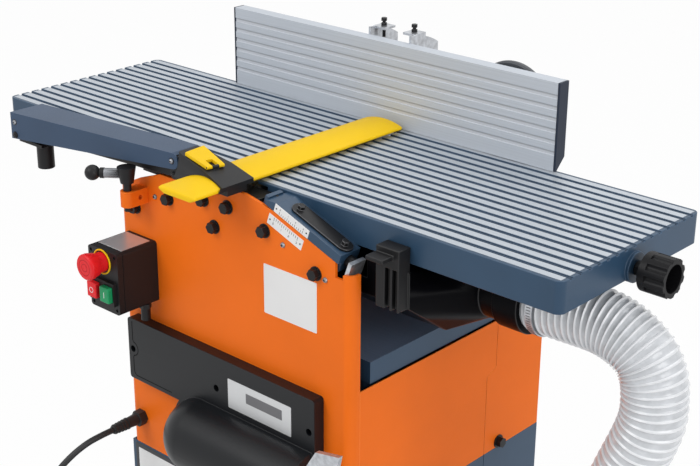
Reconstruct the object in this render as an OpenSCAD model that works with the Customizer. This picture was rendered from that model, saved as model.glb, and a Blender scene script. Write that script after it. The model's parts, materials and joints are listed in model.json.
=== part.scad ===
// Combination planer thicknesser, shown set up for surface planing.
// X runs along the tables, Y runs from the operator to the fence, Z is up.
// The origin is the centre of the floor bolt pattern, under the cutter axis.

/* [Tables] */
// Height of the table surface above the floor
table_h = 860; // [830:5:900]
// Width of both tables
table_w = 262; // [258:1:272]
// Reach of the outfeed table from the cutter axis
outfeed_reach = 460; // [430:5:520]
// Reach of the infeed table from the cutter axis
infeed_reach = 440; // [420:5:500]
// Height of the painted apron round each table
apron_h = 36; // [35:1:40]
// Thickness of the apron wall
apron_t = 8; // [6:0.5:10]
// Thickness of the table top
top_t = 10; // [8:0.5:12]
// Number of grooves in the table tops
groove_count = 15; // [9:2:15]
// Spacing of the grooves
groove_pitch = 16.3; // [12:0.1:17]
// Width of a groove
groove_w = 5.2; // [3:0.1:7]
// Depth of a groove
groove_d = 2; // [1:0.1:3]
// Rounding of the free table corners
corner_r = 9; // [6:1:20]

/* [Cabinet] */
// Width of the cabinet along the feed
body_w = 389; // [386:1:400]
// Height of the base stand
base_h = 472; // [460:2:480]
// Depth of the drive space behind the rear panel
drive_depth = 43; // [40:1:60]
// Thickness of the two structural panels
panel_t = 4; // [3:0.5:5]
// Thickness of the sheet metal
sheet_t = 2; // [1.5:0.1:2.5]
// Spacing of the floor bolts along the tables
foot_x = 320; // [300:5:330]
// Spacing of the floor bolts across the tables
foot_y = 260; // [240:5:270]
// Diameter of a floor bolt hole
foot_hole_d = 12; // [8:1:14]

/* [Cutting and feed] */
// Diameter of the cutting circle
cut_d = 62; // [60:1:64]
// Distance of the feed rollers from the cutter axis
roller_x = 78; // [74:1:82]
// Diameter of the feed rollers
roller_d = 36; // [32:1:38]
// Depth of the thicknessing bed below the tables
bed_drop = 175; // [172:1:180]
// Slope of the ways under the infeed table
slope_a = 20; // [18:1:22]
// Diameter of the inclined guide rods
rod_d = 14; // [10:1:15]

/* [Fence] */
// Length of the fence with its end caps
fence_len = 539; // [480:1:600]
// Height of the fence
fence_h = 107; // [100:1:120]
// Thickness of the fence
fence_t = 18; // [16:1:22]
// Diameter of the round knob behind the fence
fence_knob_d = 112; // [90:1:114]

/* [Guard] */
// Width of the guard blade
blade_w = 61; // [50:1:61]
// Length of the guard blade
blade_len = 348; // [320:1:348]
// Length of the guard arm between its pivots
arm_len = 295; // [280:1:300]

/* [Controls] */
// Width of the switch box
box_w = 55; // [52:1:60]
// Depth of the switch box
box_d = 62; // [50:1:70]
// Height of the switch box
box_h = 80; // [76:1:90]
// Diameter of the red mushroom button
mushroom_d = 33; // [30:1:36]
// Diameter of the depth knob
depth_knob_d = 43; // [38:1:48]
// Length of the crank arm
crank_len = 150; // [120:1:150]

/* [Extraction] */
// Outside diameter of the dust hose
hose_d = 71; // [64:1:72]
// Diameter of the mains cord
cord_d = 8; // [7:0.5:8]

/* [Hidden] */
$fn = 48;

// Overrun of every cut past its faces
over = 1;
// Running clearance of a shaft, on the radius
run = 0.05;
// Clearance between faces that move past each other
gap = 0.4;
// Wide clearance round pieces that must not touch
room = 2;

// Cabinet places
half_w = table_w / 2;
panel_gap = 32;
panel_y = half_w + panel_gap;
panel_in = panel_y - panel_t;
cover_y = panel_y + drive_depth;
body_x = body_w / 2;
wall_x_in = body_x - sheet_t;
base_top = table_h - base_h;
bend_r = 12;
flange_d = 16;
skirt = 21;
panel_low = base_top + skirt;
notch_z = 66;
left_top = 46;
right_top = 60;
outline_x_shares = [-0.79, -0.59, -0.06, 0.06, 0.165];
outline_z_shares = [0.67, 0.376, 0.355, 0.125, 0.104];
shelf_drop = 44;
shelf_z = base_top + shelf_drop;
shelf_t = 4;
floor_flange = 55;
floor_t = 3;
foot_rise = 18;
foot_len = 70;
seam_y = 108;
seam_step = 18;
seam_z = 268;
seam_rise = 9;
seam_gap = 1;
seam_deep = 1;
side_top = 204;
cover_top = 6;
cover_step = 70;

// Table places
lip_x = 20;
lip_t = 4;
wall_x = 36;
rib_y = 45;
rib_t = 6;
rib_h = 28;
rib_x = 115;
notch_half = 18;
notch_top = 30;
rest_cut = 0.3;

// Inclined ways
slope_x = 78;
slope_z = 14;
slope_end_in = 23.5;
slope_end_x = body_x - slope_end_in;
slope_end_z = slope_z + (slope_end_x - slope_x) * tan(slope_a);
way_up = -15;
block_top = 12;
block_level = 3;
block_deep = 12;
block_lip = 5;
rod_out = 15;
rod_y = half_w + rod_out;
rod_clip_t = 5;
rod_from = way_up - gap - rod_clip_t;
rod_past = 19;
rod_to = (slope_end_x - slope_x) / cos(slope_a) + rod_past;
way_stop = 14.5;
way_down = rod_to - way_stop;
rod_clip_half = 10;
rod_clip_top = 8;
rod_clip_low = 24;
link_from = 13;
link_end_in = 0.5;
link_to = way_down - link_end_in;
link_w = 20;
link_t = 3;
link_bolt_d = 9;
link_bolt_h = 5;

// Cutterblock, bearings and feed
cut_r = cut_d / 2;
knife_rise = 3;
core_r = cut_r - knife_rise;
block_inset = 3;
block_half = half_w - block_inset;
journal_r = 9;
shaft_end_gap = 10;
shaft_back = panel_y + drive_depth - shaft_end_gap;
bearing_r = 20;
bearing_t = 13;
housing_x0 = 48;
housing_x1 = 50;
housing_z0 = 60;
housing_z1 = 8;
housing_gap = 1.2;
housing_in = half_w + housing_gap;
rail_x = 150;
rail_z = 22;
rail_top = 17;
knife_count = 3;
knife_t = 3;
knife_root = 17;
gullet_r = 8;
roller_below = 1;
roller_z = cut_d + roller_below - roller_d / 2;
roller_inset = 12;
roller_half = half_w - roller_inset;
pin_r = 5;
pin_end_gap = 7;
pin_front = panel_in - pin_end_gap;
bush_len = 18;
bush_in = panel_in - bush_len;
bush_half = 15;
bush_top = 7;
bush_low = 15;
flute_count = 24;
flute_r = 1.6;
pulley_lead = 7;
pulley_y0 = drive_depth / 2 - pulley_lead;
pulley_y1 = drive_depth - shaft_end_gap;
block_pulley_r = 18;
belt_t = 3;
belt_play = 0.3;
chain_t = 3;
chain_inset = 2;
front_chain_y0 = half_w + chain_inset;
chain_w = 6;
front_chain_y1 = front_chain_y0 + chain_w;
front_sprocket_r = 18;
rear_sprocket_r = 26;
rear_chain_y0 = 3;
rear_chain_y1 = rear_chain_y0 + chain_w;
bar_x = 118;
bar_z = 52;
bar_r = 6;
finger_count = 17;
finger_margin = 54;
finger_pitch = (table_w - finger_margin) / (finger_count - 1);
finger_t = 5;
finger_eye_r = 10;
finger_len = 28;
finger_w = 12;
nut_bar_x = 120;
nut_bar_w = 20;
nut_bar_z0 = 66;
nut_bar_z1 = 51;
nut_lug_t = 8;
nut_lug_w = 40;
nut_lug_z = 16;
nut_slot_w = 14;
nut_slot_z = 35;

// Motor, feed reduction and front cover
drive_up = 52;
drive_z = base_top - drive_up;
motor_x = 95;
motor_r = 60;
motor_end_gap = 44;
motor_half = panel_in - motor_end_gap;
motor_bell = 18;
motor_bell_r = 50;
motor_foot_w = 70;
motor_foot_l = 160;
shaft_r = 8;
motor_pulley_r = 30;
pinion_r = 12;
wheel_r = 40;
mesh_gap = 0.4;
feed_x = motor_x - pinion_r - wheel_r - mesh_gap;
feed_y0 = 5;
feed_y1 = 16;
feed_sprocket_r = 14;
cover_t = 16;
cover_wall = 3;
cover_in_l = 22.5;
cover_x0 = cover_in_l - body_x;
cover_in_r = 40.5;
cover_x1 = body_x - cover_in_r;
cover_corner = 4;
capsule_r = 50;
capsule_rim = 6;
capsule_x0 = -34;
capsule_sink = 3;
capsule_in = 4;
capsule_x1 = cover_x1 - capsule_in;

// Thicknessing bed and lift
bed_end_gap = 1;
bed_x = wall_x_in - bed_end_gap;
bed_inset = 4;
bed_half = half_w - bed_inset;
bed_rim = 27;
bed_top_t = 10;
bed_wall = 9;
screw_in_x = 26.5;
screw_x = body_x - screw_in_x;
screw_in_y = 26;
screw_y = half_w - screw_in_y;
screw_r = 10;
screw_under = 14;
screw_top = bed_drop + screw_under;
screw_end_r = 6;
screw_end = 12;
boss_r = 15;
boss_len = 60;
lift_sprocket_r = 14;
lift_chain_up = 7;
lift_chain_z0 = shelf_z - lift_chain_up;
lift_chain_h = 8;
lift_chain_z1 = lift_chain_z0 - lift_chain_h;
crank_up = 43;
crank_z = base_top - crank_up;
crank_r = 7;
crank_out = 82;
crank_y = panel_y + crank_out;
crank_tilt = 58.8;
crank_w = 34;
crank_t = 6;
crank_tail = 80;
crank_hub_r = 15;
crank_hub_t = 18;
crank_point = 24;
grip_r = 12;
grip_len = 85;
bevel_r = 14;
bevel_small_r = 7;
bevel_t = 11;
bevel_gap = 1.5;

// Fence
fence_in = 8;
fence_y = half_w - fence_in;
fence_rest = 0.8;
fence_x0 = -285;
fence_land = 3;
fence_wall = 2.5;
fence_chamfer = fence_t - fence_land;
cap_t = 3;
face_groove_count = 6;
face_groove_pitch = 13.6;
face_groove_w = 5.3;
face_groove_d = 1;
face_groove_top = 17;
hinge_back = 13;
hinge_y = fence_y + hinge_back;
hinge_up = 3.2;
hinge_z = fence_rest + hinge_up;
hinge_r = 2.5;
hinge_eye_r = 4.6;
quadrant_over = 6.5;
quadrant_r = fence_h + quadrant_over;
quadrant_x = [-54, 13.5];
quadrant_t = 3;
quadrant_y_share = 0.52;
quadrant_hole_r = 4;
tab_len = 20;
tab_w = 21;
tab_back = 8;
stop_r = 2.2;
stop_head_r = 4;
stop_head_h = 4;
stop_above = 6;
stop_below = 15;
stop_nut_h = 3.5;
fence_base_t = 4;
fence_base_x0 = -75;
fence_base_x1 = 45;
cheek_t = 5;
fence_knob_in = 86;
fence_knob_x = fence_x0 + fence_len - fence_knob_in;
fence_knob_z = 55;
fence_knob_gap = 6;
fence_knob_t = 13;
fence_stem_r = 14;

// Guard, measured from the arm's left pivot
arm_x = -366;
arm_z = -2;
arm_a = 3.05;
arm_out = 9;
arm_back_y = half_w + arm_out;
arm_left_w = 50;
arm_right_w = 40;
arm_wall = 2;
arm_tail = 8;
arm_left_up = 12;
arm_left_down = 23;
arm_right_r = 10;
arm_end_steps = 10;
arm_pin_r = 4;
link_drop = 17.3;
link_far = 30;
link_y0 = arm_back_y + link_far;
link_near = 10;
link_y1 = arm_back_y + link_near;
link_h = 13;
link_play = 0.5;
bracket_post_out = 8.6;
bracket_post_y = arm_back_y + bracket_post_out;
bracket_t = 4;
bracket_left = 7;
bracket_x0 = arm_x - bracket_left;
bracket_right = 40;
bracket_x1 = arm_x + bracket_right;
bracket_low = 31;
bracket_post_r = 8.5;
bracket_top = 3;
guard_knob_in = 27;
guard_knob_x = arm_x + guard_knob_in;
guard_knob_out = 34;
guard_knob_y = half_w + guard_knob_out;
guard_knob_d = 22;
guard_knob_h = 31;
guard_stud_r = 4;
blade_in = 11;
blade_front = fence_y - blade_in - blade_len;
blade_x = -0.5;
blade_low = 1.5;
blade_edge = 7;
blade_nose = 6.2;
blade_side = 4;
blade_crown = 12.5;
blade_foot = 9;
blade_tip = 22;
holder_far = 61;
holder_y0 = arm_back_y + holder_far;
holder_back = 9;
holder_y1 = arm_back_y + holder_back;
holder_play = 0.3;
holder_side = 2.5;
holder_left = 14;
holder_low = 4;
holder_sill = 5.5;
holder_roof = 9.5;
holder_knee_x = -4;
holder_knee_z = 20.5;
holder_ridge_gap = 1.4;
holder_ridge_z = 28;
scoop_left_r = 21.4;
scoop_right_r = 4;
shoe_t = 2.2;
shoe_far = 50;
shoe_near = 20;
shoe_y0 = arm_back_y + shoe_far;
shoe_y1 = arm_back_y + shoe_near;
holder_hub_r = 7.2;
holder_pin_r = 6;
holder_cheek_t = 6;
cheek_lap = 0.3;
cheek_back_t = holder_back - arm_wall - gap + cheek_lap;
latch_in = 12;
latch_far = 25.5;
latch_skew = 12;
latch_w_top = 30;
latch_w_low = 23;
latch_len = 47;
latch_cant = 4.5;
latch_t = 4;
latch_leg = 7;
latch_leg_len = 15;
latch_pin_r = 1.2;

// Table lock
lock_in = 47.5;
lock_x = lock_in - body_x;
lock_out = 24;
lock_y = panel_y + lock_out;
lock_bracket_r = 9;
lock_bracket_z0 = 60;
lock_bracket_z1 = 40;
lock_side_hole_r = 3;
stud_r = 5;
stud_low = 66;
hub_r = 11.5;
hub_foot_r = 8;
hub_low = 30;
hub_top = 10;
handle_r = 6;
handle_z = 18.5;
handle_len = 27;
handle_a = 38;
ball_r = 9.5;
ball_len = 24;
ball_neck_r = 6.5;

// Bolts on the panels
bolt_x = [3, -20, 63, 142.5, -100, -37.6, -162];
bolt_z = [28.5, 59, 41, 69.5, 45, 30, 72];
bolt_d = 14;
bolt_h = 7;
washer_d = 17;
washer_t = 1.2;
side_bolt_y = 120;
side_bolt_low = 8;
side_washer_d = 18;

// Switch box
box_in = 40.5;
box_x = box_in - body_x;
box_top = 107.5;
box_seam = 1;
box_corner = 4;
lid_screw_r = 2.2;
lid_screw_in = 5.5;
box_seam_y = 8;
mushroom_z = 16;
mushroom_x = -1.5;
mushroom_neck_r = 12.5;
mushroom_out = 27;
mushroom_cap = 16.5;
mushroom_travel = 6;
frame_w = 46;
frame_h = 30;
frame_t = 5;
frame_z = 27;
button_w = 17;
button_h = 20;
button_out = 11;
button_x = 12;
button_travel = 3;
gland_r = 6;
gland_nut_d = 15;
gland_nut_h = 6;
gland_len = 22;
gland_x = 19.5;
gland_y = 16;

// Front cover, between the switch box's gland and the drive
box_low = box_top + box_h + gland_len;
cover_top_share = 0.067;
cover_z1 = box_low + (drive_z - box_low) * cover_top_share;
cover_low_share = 0.739;
cover_z0 = box_low + (drive_z - box_low) * cover_low_share;
cover_screw_d = 9;
cover_screw_z = (cover_z0 + cover_z1) / 2;
cover_screw_in = 8.5;
cover_screw_x = [cover_x0 + cover_screw_in, (cover_x0 + cover_x1) / 2, cover_x1 - cover_screw_in];

// Dust hood and port
hood_x0 = -25;
hood_lap = 2.5;
hood_in = body_x - hood_lap;
hood_box_len = 60;
hood_out = hood_in + hood_box_len;
hood_front = 4;
hood_y0 = -half_w - hood_front;
hood_rear = 31;
hood_y1 = half_w - hood_rear;
hood_taper = 60;
hood_back = hood_y1 - hood_taper;
hood_mouth = 68;
hood_under = 46;
hood_edge = 88;
hood_low = 135;
hood_low_y0 = -70;
hood_low_y1 = 10;
hood_slice = 4;
hood_wall = 3;
port_y = -23;
port_z = 85;
port_wall = 1;
port_r = hose_d / 2 + port_wall;
funnel_len = 31;
port_x = hood_out + funnel_len;
neck_len = 24;
sleeve_x = port_x + neck_len;
sleeve_wall = 4;
sleeve_r = port_r + sleeve_wall;
sleeve_len = 33;
port_end = sleeve_x + sleeve_len;
mouth_x = 95;
runner_x0 = -10;
runner_gap = 10;
runner_x1 = hood_in - runner_gap;
runner_t = 6;
latch_gap = 26;
latch_x = hood_in + latch_gap;
latch_w = 32;
latch_d = 19;
latch_top = 17;
latch_slot_w = 7;
latch_slot_z = 40;
thumb_w = 24;
thumb_d = 17;
thumb_z = 24;
thumb_t = 5;
clamp_gap = 9;
clamp_x = port_end + clamp_gap;
clamp_w = 9;
clamp_t = 1.6;
clamp_box = 12;

// Route of the dust hose, from the hood to the floor, in the frame of the floor
hose_route = [[340, -23, 775], [372, -23, 775], [404, -23, 776], [430, -23, 775], [455, -23, 768],
  [476.5, -23, 753.5], [488, -23, 733.5], [491.5, -23, 711], [491, -23, 686], [483, -23, 657],
  [464, -23, 607], [447, -23, 559], [432, -22, 510], [420, -20, 455], [411, -17, 397], [405, -12, 338],
  [402, -4, 280], [400, 8, 222], [400, 26, 164], [400, 52, 112], [400, 86, 71], [400, 126, 47],
  [400, 169, 38], [400, 212, 37]];
hose_rib_pitch = 10.5;
hose_valley = 2;
hose_wall = 4.5;
hose_bore_r = hose_d / 2 - hose_wall;
hose_sides = 8;
hose_gap = 0.6;
cuff_len = 62;
cuff_wall = 0.8;
cuff_r = hose_d / 2 + cuff_wall;
cuff_ring = 8;
cuff_ring_t = 0.6;

// Route of the mains cord, from its strain relief to the coil
relief_in = 23;
relief_x = relief_in - body_x;
relief_up = 20.5;
relief_z = base_top - relief_up;
relief_len = 50;
relief_nut = 11;
relief_nut_d = 22;
relief_root_r = 8;
relief_tip_r = 5.5;
cord_route = [[-171.5, -213, 492.5], [-172, -232, 492], [-175, -252, 488], [-181, -271, 477], [-189,
  -287, 460],
  [-198, -299, 437], [-207, -307, 408], [-215, -311, 375], [-222, -312, 335], [-228, -310, 290],
  [-233, -306, 240], [-237, -301, 190], [-241, -295, 140], [-247, -288, 92], [-250, -282, 50],
  [-257, -276, 25], [-267, -271, 11], [-280, -268, 5.5], [-292, -268, 4.5], [-304, -268, 4.5]];
coil_x = -304;
coil_y = -214;
coil_r = 54;
coil_turns = 2.5;
coil_spare = 0.8;
coil_step = cord_d + coil_spare;
coil_rings = 24;
coil_sides = 6;
plug_len = 46;
plug_w = 34;
plug_t = 26;
plug_pin_r = 2.4;
plug_pin_len = 19;
plug_pin_y = 9.5;

// Frame at the table surface
module at_table() {
  translate([0, 0, table_h]) children();
}

// Box between two corners
module slab(x0, x1, y0, y1, z0, z1) {
  translate([x0, y0, z0]) cube([x1 - x0, y1 - y0, z1 - z0]);
}

// Upright shape drawn in X and Z, between two planes of Y
module plate_xz(y0, y1) {
  translate([0, y1, 0]) rotate([90, 0, 0]) linear_extrude(y1 - y0) children();
}

// Upright shape drawn in Y and Z, between two planes of X
module plate_yz(x0, x1) {
  translate([x0, 0, 0]) rotate([90, 0, 90]) linear_extrude(x1 - x0) children();
}

// Round bars along each axis
module bar_y(r, x, z, y0, y1) {
  translate([x, y0, z]) rotate([-90, 0, 0]) cylinder(r = r, h = y1 - y0);
}
module bar_x(r, y, z, x0, x1) {
  translate([x0, y, z]) rotate([0, 90, 0]) cylinder(r = r, h = x1 - x0);
}
module bar_z(r, x, y, z0, z1) {
  translate([x, y, z0]) cylinder(r = r, h = z1 - z0);
}

// Frame that runs down the ways: X along the slope, Z square to it
module on_slope() {
  translate([slope_x, 0, -slope_z]) rotate([0, slope_a, 0]) children();
}

// The same thing at the front and at the back
module both_sides() {
  children();
  mirror([0, 1, 0]) children();
}

// Loop of belt or chain round a list of wheels given as [x, y, radius]
module loop_band(wheels, thick) {
  difference() {
    hull() for (w = wheels) translate([w[0], w[1]]) circle(r = w[2] + belt_play + thick, $fn = 32);
    hull() for (w = wheels) translate([w[0], w[1]]) circle(r = w[2] + belt_play, $fn = 32);
  }
}

// Cabinet
module base_stand() {
  color("#3d4a5e") difference() {
    union() {
      difference() {
        slab(-body_x, body_x, -panel_y, cover_y, 0, base_h);
        slab(-wall_x_in, wall_x_in, sheet_t - panel_y, cover_y - sheet_t, floor_t, base_h + over);
        slab(floor_flange - body_x, body_x - floor_flange, floor_flange - panel_y,
          cover_y - floor_flange, -over, floor_t + over);
        slab(-body_x - over, body_x + over, -panel_y - over, flange_d + gap - panel_y,
          base_h - skirt - gap, base_h + over);
      }
      slab(-wall_x_in, wall_x_in, sheet_t - panel_y, panel_in - room, table_h - shelf_z - shelf_t,
        table_h - shelf_z);
    }
    for (x = [-1, 1], y = [-1, 1])
      bar_z(foot_hole_d / 2, x * foot_x / 2, y * foot_y / 2, -over, floor_t + over);
    for (x = [-1, 1], y = [-1, 1])
      bar_z(screw_end_r + run, x * screw_x, y * screw_y, table_h - shelf_z - shelf_t - over,
    table_h - shelf_z + over);
    for (x = [-body_x, body_x - seam_deep])
      slab(x, x + seam_deep, seam_y - seam_step, seam_y - seam_step + seam_gap, foot_rise,
        base_h + over);
    slab(foot_len - body_x, body_x - foot_len, -panel_y - over, sheet_t - panel_y + over, floor_t,
      foot_rise);
  }
}

// Top outline shared by the front and rear panels, out to a given edge
module panel_outline(edge) {
  polygon(concat([[-edge, -left_top]],
    [for (i = [0 : len(outline_x_shares) - 1])
      [outline_x_shares[i] * body_x, -outline_z_shares[i] * slope_end_z]],
    [[slope_x, -slope_z], [slope_end_x, -slope_end_z], [slope_end_x, -notch_z], [edge, -notch_z],
      [edge, -panel_low], [-edge, -panel_low]]));
}

module panel_corner(side, top) {
  translate([side * (body_x - bend_r), bend_r - panel_y, -panel_low]) linear_extrude(panel_low - top)
    intersection() {
      difference() {
        circle(r = bend_r);
        circle(r = bend_r - panel_t);
      }
      translate([side > 0 ? 0 : -bend_r, -bend_r]) square(bend_r);
    }
  x0 = side > 0 ? body_x - panel_t : -body_x;
  slab(x0, x0 + panel_t, bend_r - panel_y, flange_d - panel_y, -panel_low, -top);
}

module front_panel() {
  color("#e8712a") at_table() difference() {
    union() {
      plate_xz(-panel_y, -panel_in) panel_outline(body_x - bend_r);
      panel_corner(-1, left_top);
      panel_corner(1, right_top);
    }
    bar_y(shaft_r + run, feed_x, -drive_z, -panel_y - over, over - panel_in);
    bar_y(shaft_r + room, motor_x, -drive_z, -panel_y - over, over - panel_in);
    bar_y(crank_r + run, screw_x, -crank_z, -panel_y - over, over - panel_in);
    bar_y(relief_root_r, relief_x, -relief_z, -panel_y - over, over - panel_in);
  }
}

module rear_panel() {
  color("#e8712a") at_table() difference() {
    plate_xz(panel_in, panel_y) panel_outline(wall_x_in);
    bar_y(journal_r + room, 0, -cut_r, panel_in - over, panel_y + over);
    bar_y(shaft_r + room, motor_x, -drive_z, panel_in - over, panel_y + over);
    for (x = [-1, 1])
      bar_y(pin_r + gap, x * roller_x, -roller_z, panel_in - over, panel_y + over);
  }
}

module side_panels() {
  color("#e0692a") at_table() for (x = [-body_x, wall_x_in])
    plate_yz(x, x + sheet_t) polygon([[flange_d - panel_y, -side_top], [seam_y, -side_top],
      [seam_y, -seam_z], [seam_y - seam_step, -seam_z - seam_rise], [seam_y - seam_step, -base_top],
      [flange_d - panel_y, -base_top]]);
}

module rear_cover() {
  color("#e0692a") at_table() {
    for (x = [-body_x, wall_x_in])
      plate_yz(x, x + sheet_t) polygon([[seam_y + seam_gap, -cover_step], [panel_y + gap,
        -cover_step],
        [panel_y + gap, -cover_top], [cover_y, -cover_top], [cover_y, -base_top],
        [seam_y - seam_step + seam_gap, -base_top], [seam_y - seam_step + seam_gap,
          -seam_z - seam_rise],
        [seam_y + seam_gap, -seam_z]]);
    slab(-wall_x_in, wall_x_in, cover_y - sheet_t, cover_y, -base_top, -cover_top);
    slab(-wall_x_in, wall_x_in, panel_y + gap, cover_y - sheet_t, -cover_top - sheet_t, -cover_top);
  }
}

// Upright rectangle with round corners, drawn in X and Z
module rounded(x0, x1, z0, z1, r) {
  for (x = [x0 + r, x1 - r], z = [z0 + r, z1 - r]) translate([x, z]) circle(r = r);
  translate([x0, z0 + r]) square([x1 - x0, z1 - z0 - 2 * r]);
  translate([x0 + r, z0]) square([x1 - x0 - 2 * r, z1 - z0]);
}

// Flat outline of the cover's swelling, round on the left
module swelling(r, x1) {
  translate([capsule_x0, -drive_z]) circle(r = r);
  translate([capsule_x0, -drive_z - r]) square([x1 - capsule_x0, 2 * r]);
}

// Half round swelling with a domed left end and a flat right end
module capsule(r, y, x1) {
  translate([capsule_x0, y, -drive_z]) rotate([90, 0, 0]) rotate([0, 0, 90])
    rotate_extrude(angle = 180) intersection() {
      circle(r = r);
      translate([0, -capsule_sink]) square([r, r + capsule_sink]);
    }
  plate_yz(capsule_x0, x1) intersection() {
    translate([y, -drive_z]) circle(r = r);
    translate([y - r, -drive_z - r]) square([r + capsule_sink, 2 * r]);
  }
}

module front_cover() {
  y0 = -panel_y - cover_t;
  color("#2b2c2f") at_table() difference() {
    union() {
      plate_xz(y0, -panel_y) {
        rounded(cover_x0, cover_x1, -cover_z0, -cover_z1, cover_corner);
        swelling(capsule_r + capsule_rim, capsule_x1);
      }
      capsule(capsule_r, y0, capsule_x1);
    }
    capsule(capsule_r - cover_wall, y0, capsule_x1 - cover_wall);
    plate_xz(y0 + cover_wall, over - panel_y)
      swelling(capsule_r + capsule_rim - cover_wall, capsule_x1 - cover_wall);
    slab(cover_x0 - over, body_x, -panel_y, -half_w, -base_top, 0);
    for (x = cover_screw_x)
      bar_y(cover_screw_d / 2, x, -cover_screw_z, y0 - over, y0 + cover_t / 2);
  }
}

// Hex head with its washer, on a panel facing the operator
module front_bolt(x, z) {
  bar_y(washer_d / 2, x, -z, -panel_y - washer_t, -panel_y);
  translate([x, -panel_y - washer_t, -z]) rotate([90, 0, 0]) cylinder(d = bolt_d, h = bolt_h, $fn = 6);
}

module panel_bolts() {
  z = -base_top + side_bolt_low;
  color("#1d1e20") at_table() {
    for (i = [0 : len(bolt_x) - 1]) front_bolt(bolt_x[i], bolt_z[i]);
    for (x = cover_screw_x)
      bar_y(cover_screw_d / 2 - gap, x, -cover_screw_z, -panel_y - cover_t / 2 - washer_t,
    -panel_y - cover_t / 2);
    for (side = [-1, 1]) mirror([side > 0 ? 0 : 1, 0, 0]) {
      bar_x(side_washer_d / 2, side_bolt_y, z, body_x, body_x + washer_t);
      translate([body_x + washer_t, side_bolt_y, z]) rotate([0, 90, 0])
        cylinder(d = bolt_d, h = bolt_h, $fn = 6);
    }
  }
}

// Plan of a table from its inner edge to its rounded free end
module table_plan(length) {
  translate([0, -half_w]) square([length - corner_r, table_w]);
  translate([0, corner_r - half_w]) square([length, table_w - 2 * corner_r]);
  for (s = [-1, 1])
    translate([length - corner_r, s * (half_w - corner_r)]) circle(r = corner_r);
}

module half_table(reach) {
  inner = reach - wall_x - apron_t;
  difference() {
    union() {
      difference() {
        translate([wall_x, 0, -apron_h]) linear_extrude(apron_h) table_plan(reach - wall_x);
        slab(wall_x - over, reach - apron_t, apron_t - half_w, half_w - apron_t,
          -apron_h - over, -top_t);
      }
      slab(lip_x, wall_x, -half_w, half_w, -lip_t, 0);
      for (s = [-1, 1])
        slab(rib_x, wall_x + inner, s * rib_y - rib_t / 2, s * rib_y + rib_t / 2, -rib_h, -top_t);
    }
    for (i = [0 : groove_count - 1]) {
      y = (i - (groove_count - 1) / 2) * groove_pitch;
      slab(lip_x - over, reach + over, y - groove_w / 2, y + groove_w / 2, -groove_d, over);
    }
    slab(roller_x - notch_half, roller_x + notch_half, -half_w - over, half_w + over, -apron_h - over,
      -notch_top);
  }
}

module outfeed_table() {
  color("#46566f") at_table() mirror([1, 0, 0]) half_table(outfeed_reach);
}

module infeed_table() {
  z = depth_axis_z();
  color("#46566f") at_table() difference() {
    union() {
      translate([0, 0, -rest_cut]) half_table(infeed_reach);
      bar_x(depth_boss_r, 0, z, infeed_reach - depth_boss_in, infeed_reach + depth_boss_out);
    }
    bar_x(depth_screw_r + run, 0, z, 0, infeed_reach + depth_boss_out + over);
  }
}

// Depth screw and its fluted knob
depth_boss_r = 17;
depth_boss_in = 16;
depth_boss_out = 4;
depth_screw_r = 6;
depth_screw_in = 110;
depth_collar_r = 8;
depth_collar_len = 12;
depth_knob_len = 31;
depth_cup = 22;
depth_cup_wall = 6;
depth_flutes = 10;
depth_flute_r = 4.5;
depth_down = 24;
function depth_axis_z() = -depth_down - rest_cut;

module depth_knob() {
  z = depth_axis_z();
  x0 = infeed_reach + depth_boss_out + gap;
  x1 = x0 + depth_collar_len;
  x2 = x1 + depth_knob_len;
  color("#232427") at_table() {
    bar_x(depth_screw_r, 0, z, depth_screw_in, x0);
    bar_x(depth_collar_r, 0, z, x0, x1);
    difference() {
      bar_x(depth_knob_d / 2, 0, z, x1, x2);
      bar_x(depth_knob_d / 2 - depth_cup_wall, 0, z, x2 - depth_cup, x2 + over);
      for (i = [0 : depth_flutes - 1]) {
        a = i * 360 / depth_flutes;
        r = depth_knob_d / 2 + depth_flute_r / 2;
        bar_x(depth_flute_r, r * cos(a), z + r * sin(a), x1 + depth_collar_r, x2 + over);
      }
    }
  }
}

// Castings that carry the cutterblock, the rollers and the outfeed table
module bearing_housings() {
  color("#2a2b2e") at_table() both_sides() {
    difference() {
      slab(-housing_x0, housing_x1, -panel_in, -housing_in, -housing_z0, -housing_z1);
      bar_y(bearing_r, 0, -cut_r, -housing_in - bearing_t, over - housing_in);
      bar_y(journal_r + room, 0, -cut_r, -panel_in - over, over - housing_in);
    }
    slab(-rail_x, -housing_x0, -panel_in, -half_w, -rail_z, -rail_top);
    for (x = [-roller_x, roller_x]) difference() {
      slab(x - bush_half, x + bush_half, -panel_in, -bush_in, -roller_z - bush_low,
        bush_top - roller_z);
      bar_y(pin_r + run, x, -roller_z, -panel_in - over, over - bush_in);
    }
  }
}

module bearings() {
  color("#b9bcc0") at_table() both_sides() difference() {
    bar_y(bearing_r - run, 0, -cut_r, -housing_in - bearing_t, -housing_in);
    bar_y(journal_r + run, 0, -cut_r, -housing_in - bearing_t - over, over - housing_in);
  }
}

// Inclined guide rods with their zinc end clips
module slide_rods() {
  color("#c3c6c9") at_table() both_sides() on_slope() {
    bar_x(rod_d / 2, -rod_y, 0, rod_from, rod_to);
    slab(rod_from, rod_from + rod_clip_t, -panel_in, rod_clip_half - rod_y, -rod_clip_half,
      rod_clip_top);
    slab(rod_to - rod_clip_t, rod_to, -panel_in, rod_clip_half - rod_y, -rod_clip_low, rod_clip_top);
  }
}

// Blocks on the infeed table that ride down the rods
module slide_blocks() {
  color("#46566f") at_table() both_sides() difference() {
    on_slope() difference() {
      union() {
        slab(way_up, way_down, -panel_y, -half_w, gap, block_top);
        slab(way_up, way_down, block_lip - panel_y, -half_w, -block_deep, gap);
      }
      bar_x(rod_d / 2 + run, -rod_y, 0, way_up - over, way_down + over);
    }
    slab(slope_x + 2 * way_up, slope_x + 2 * block_top, -panel_y - over, over - half_w, -block_level,
      block_top);
  }
}

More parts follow.
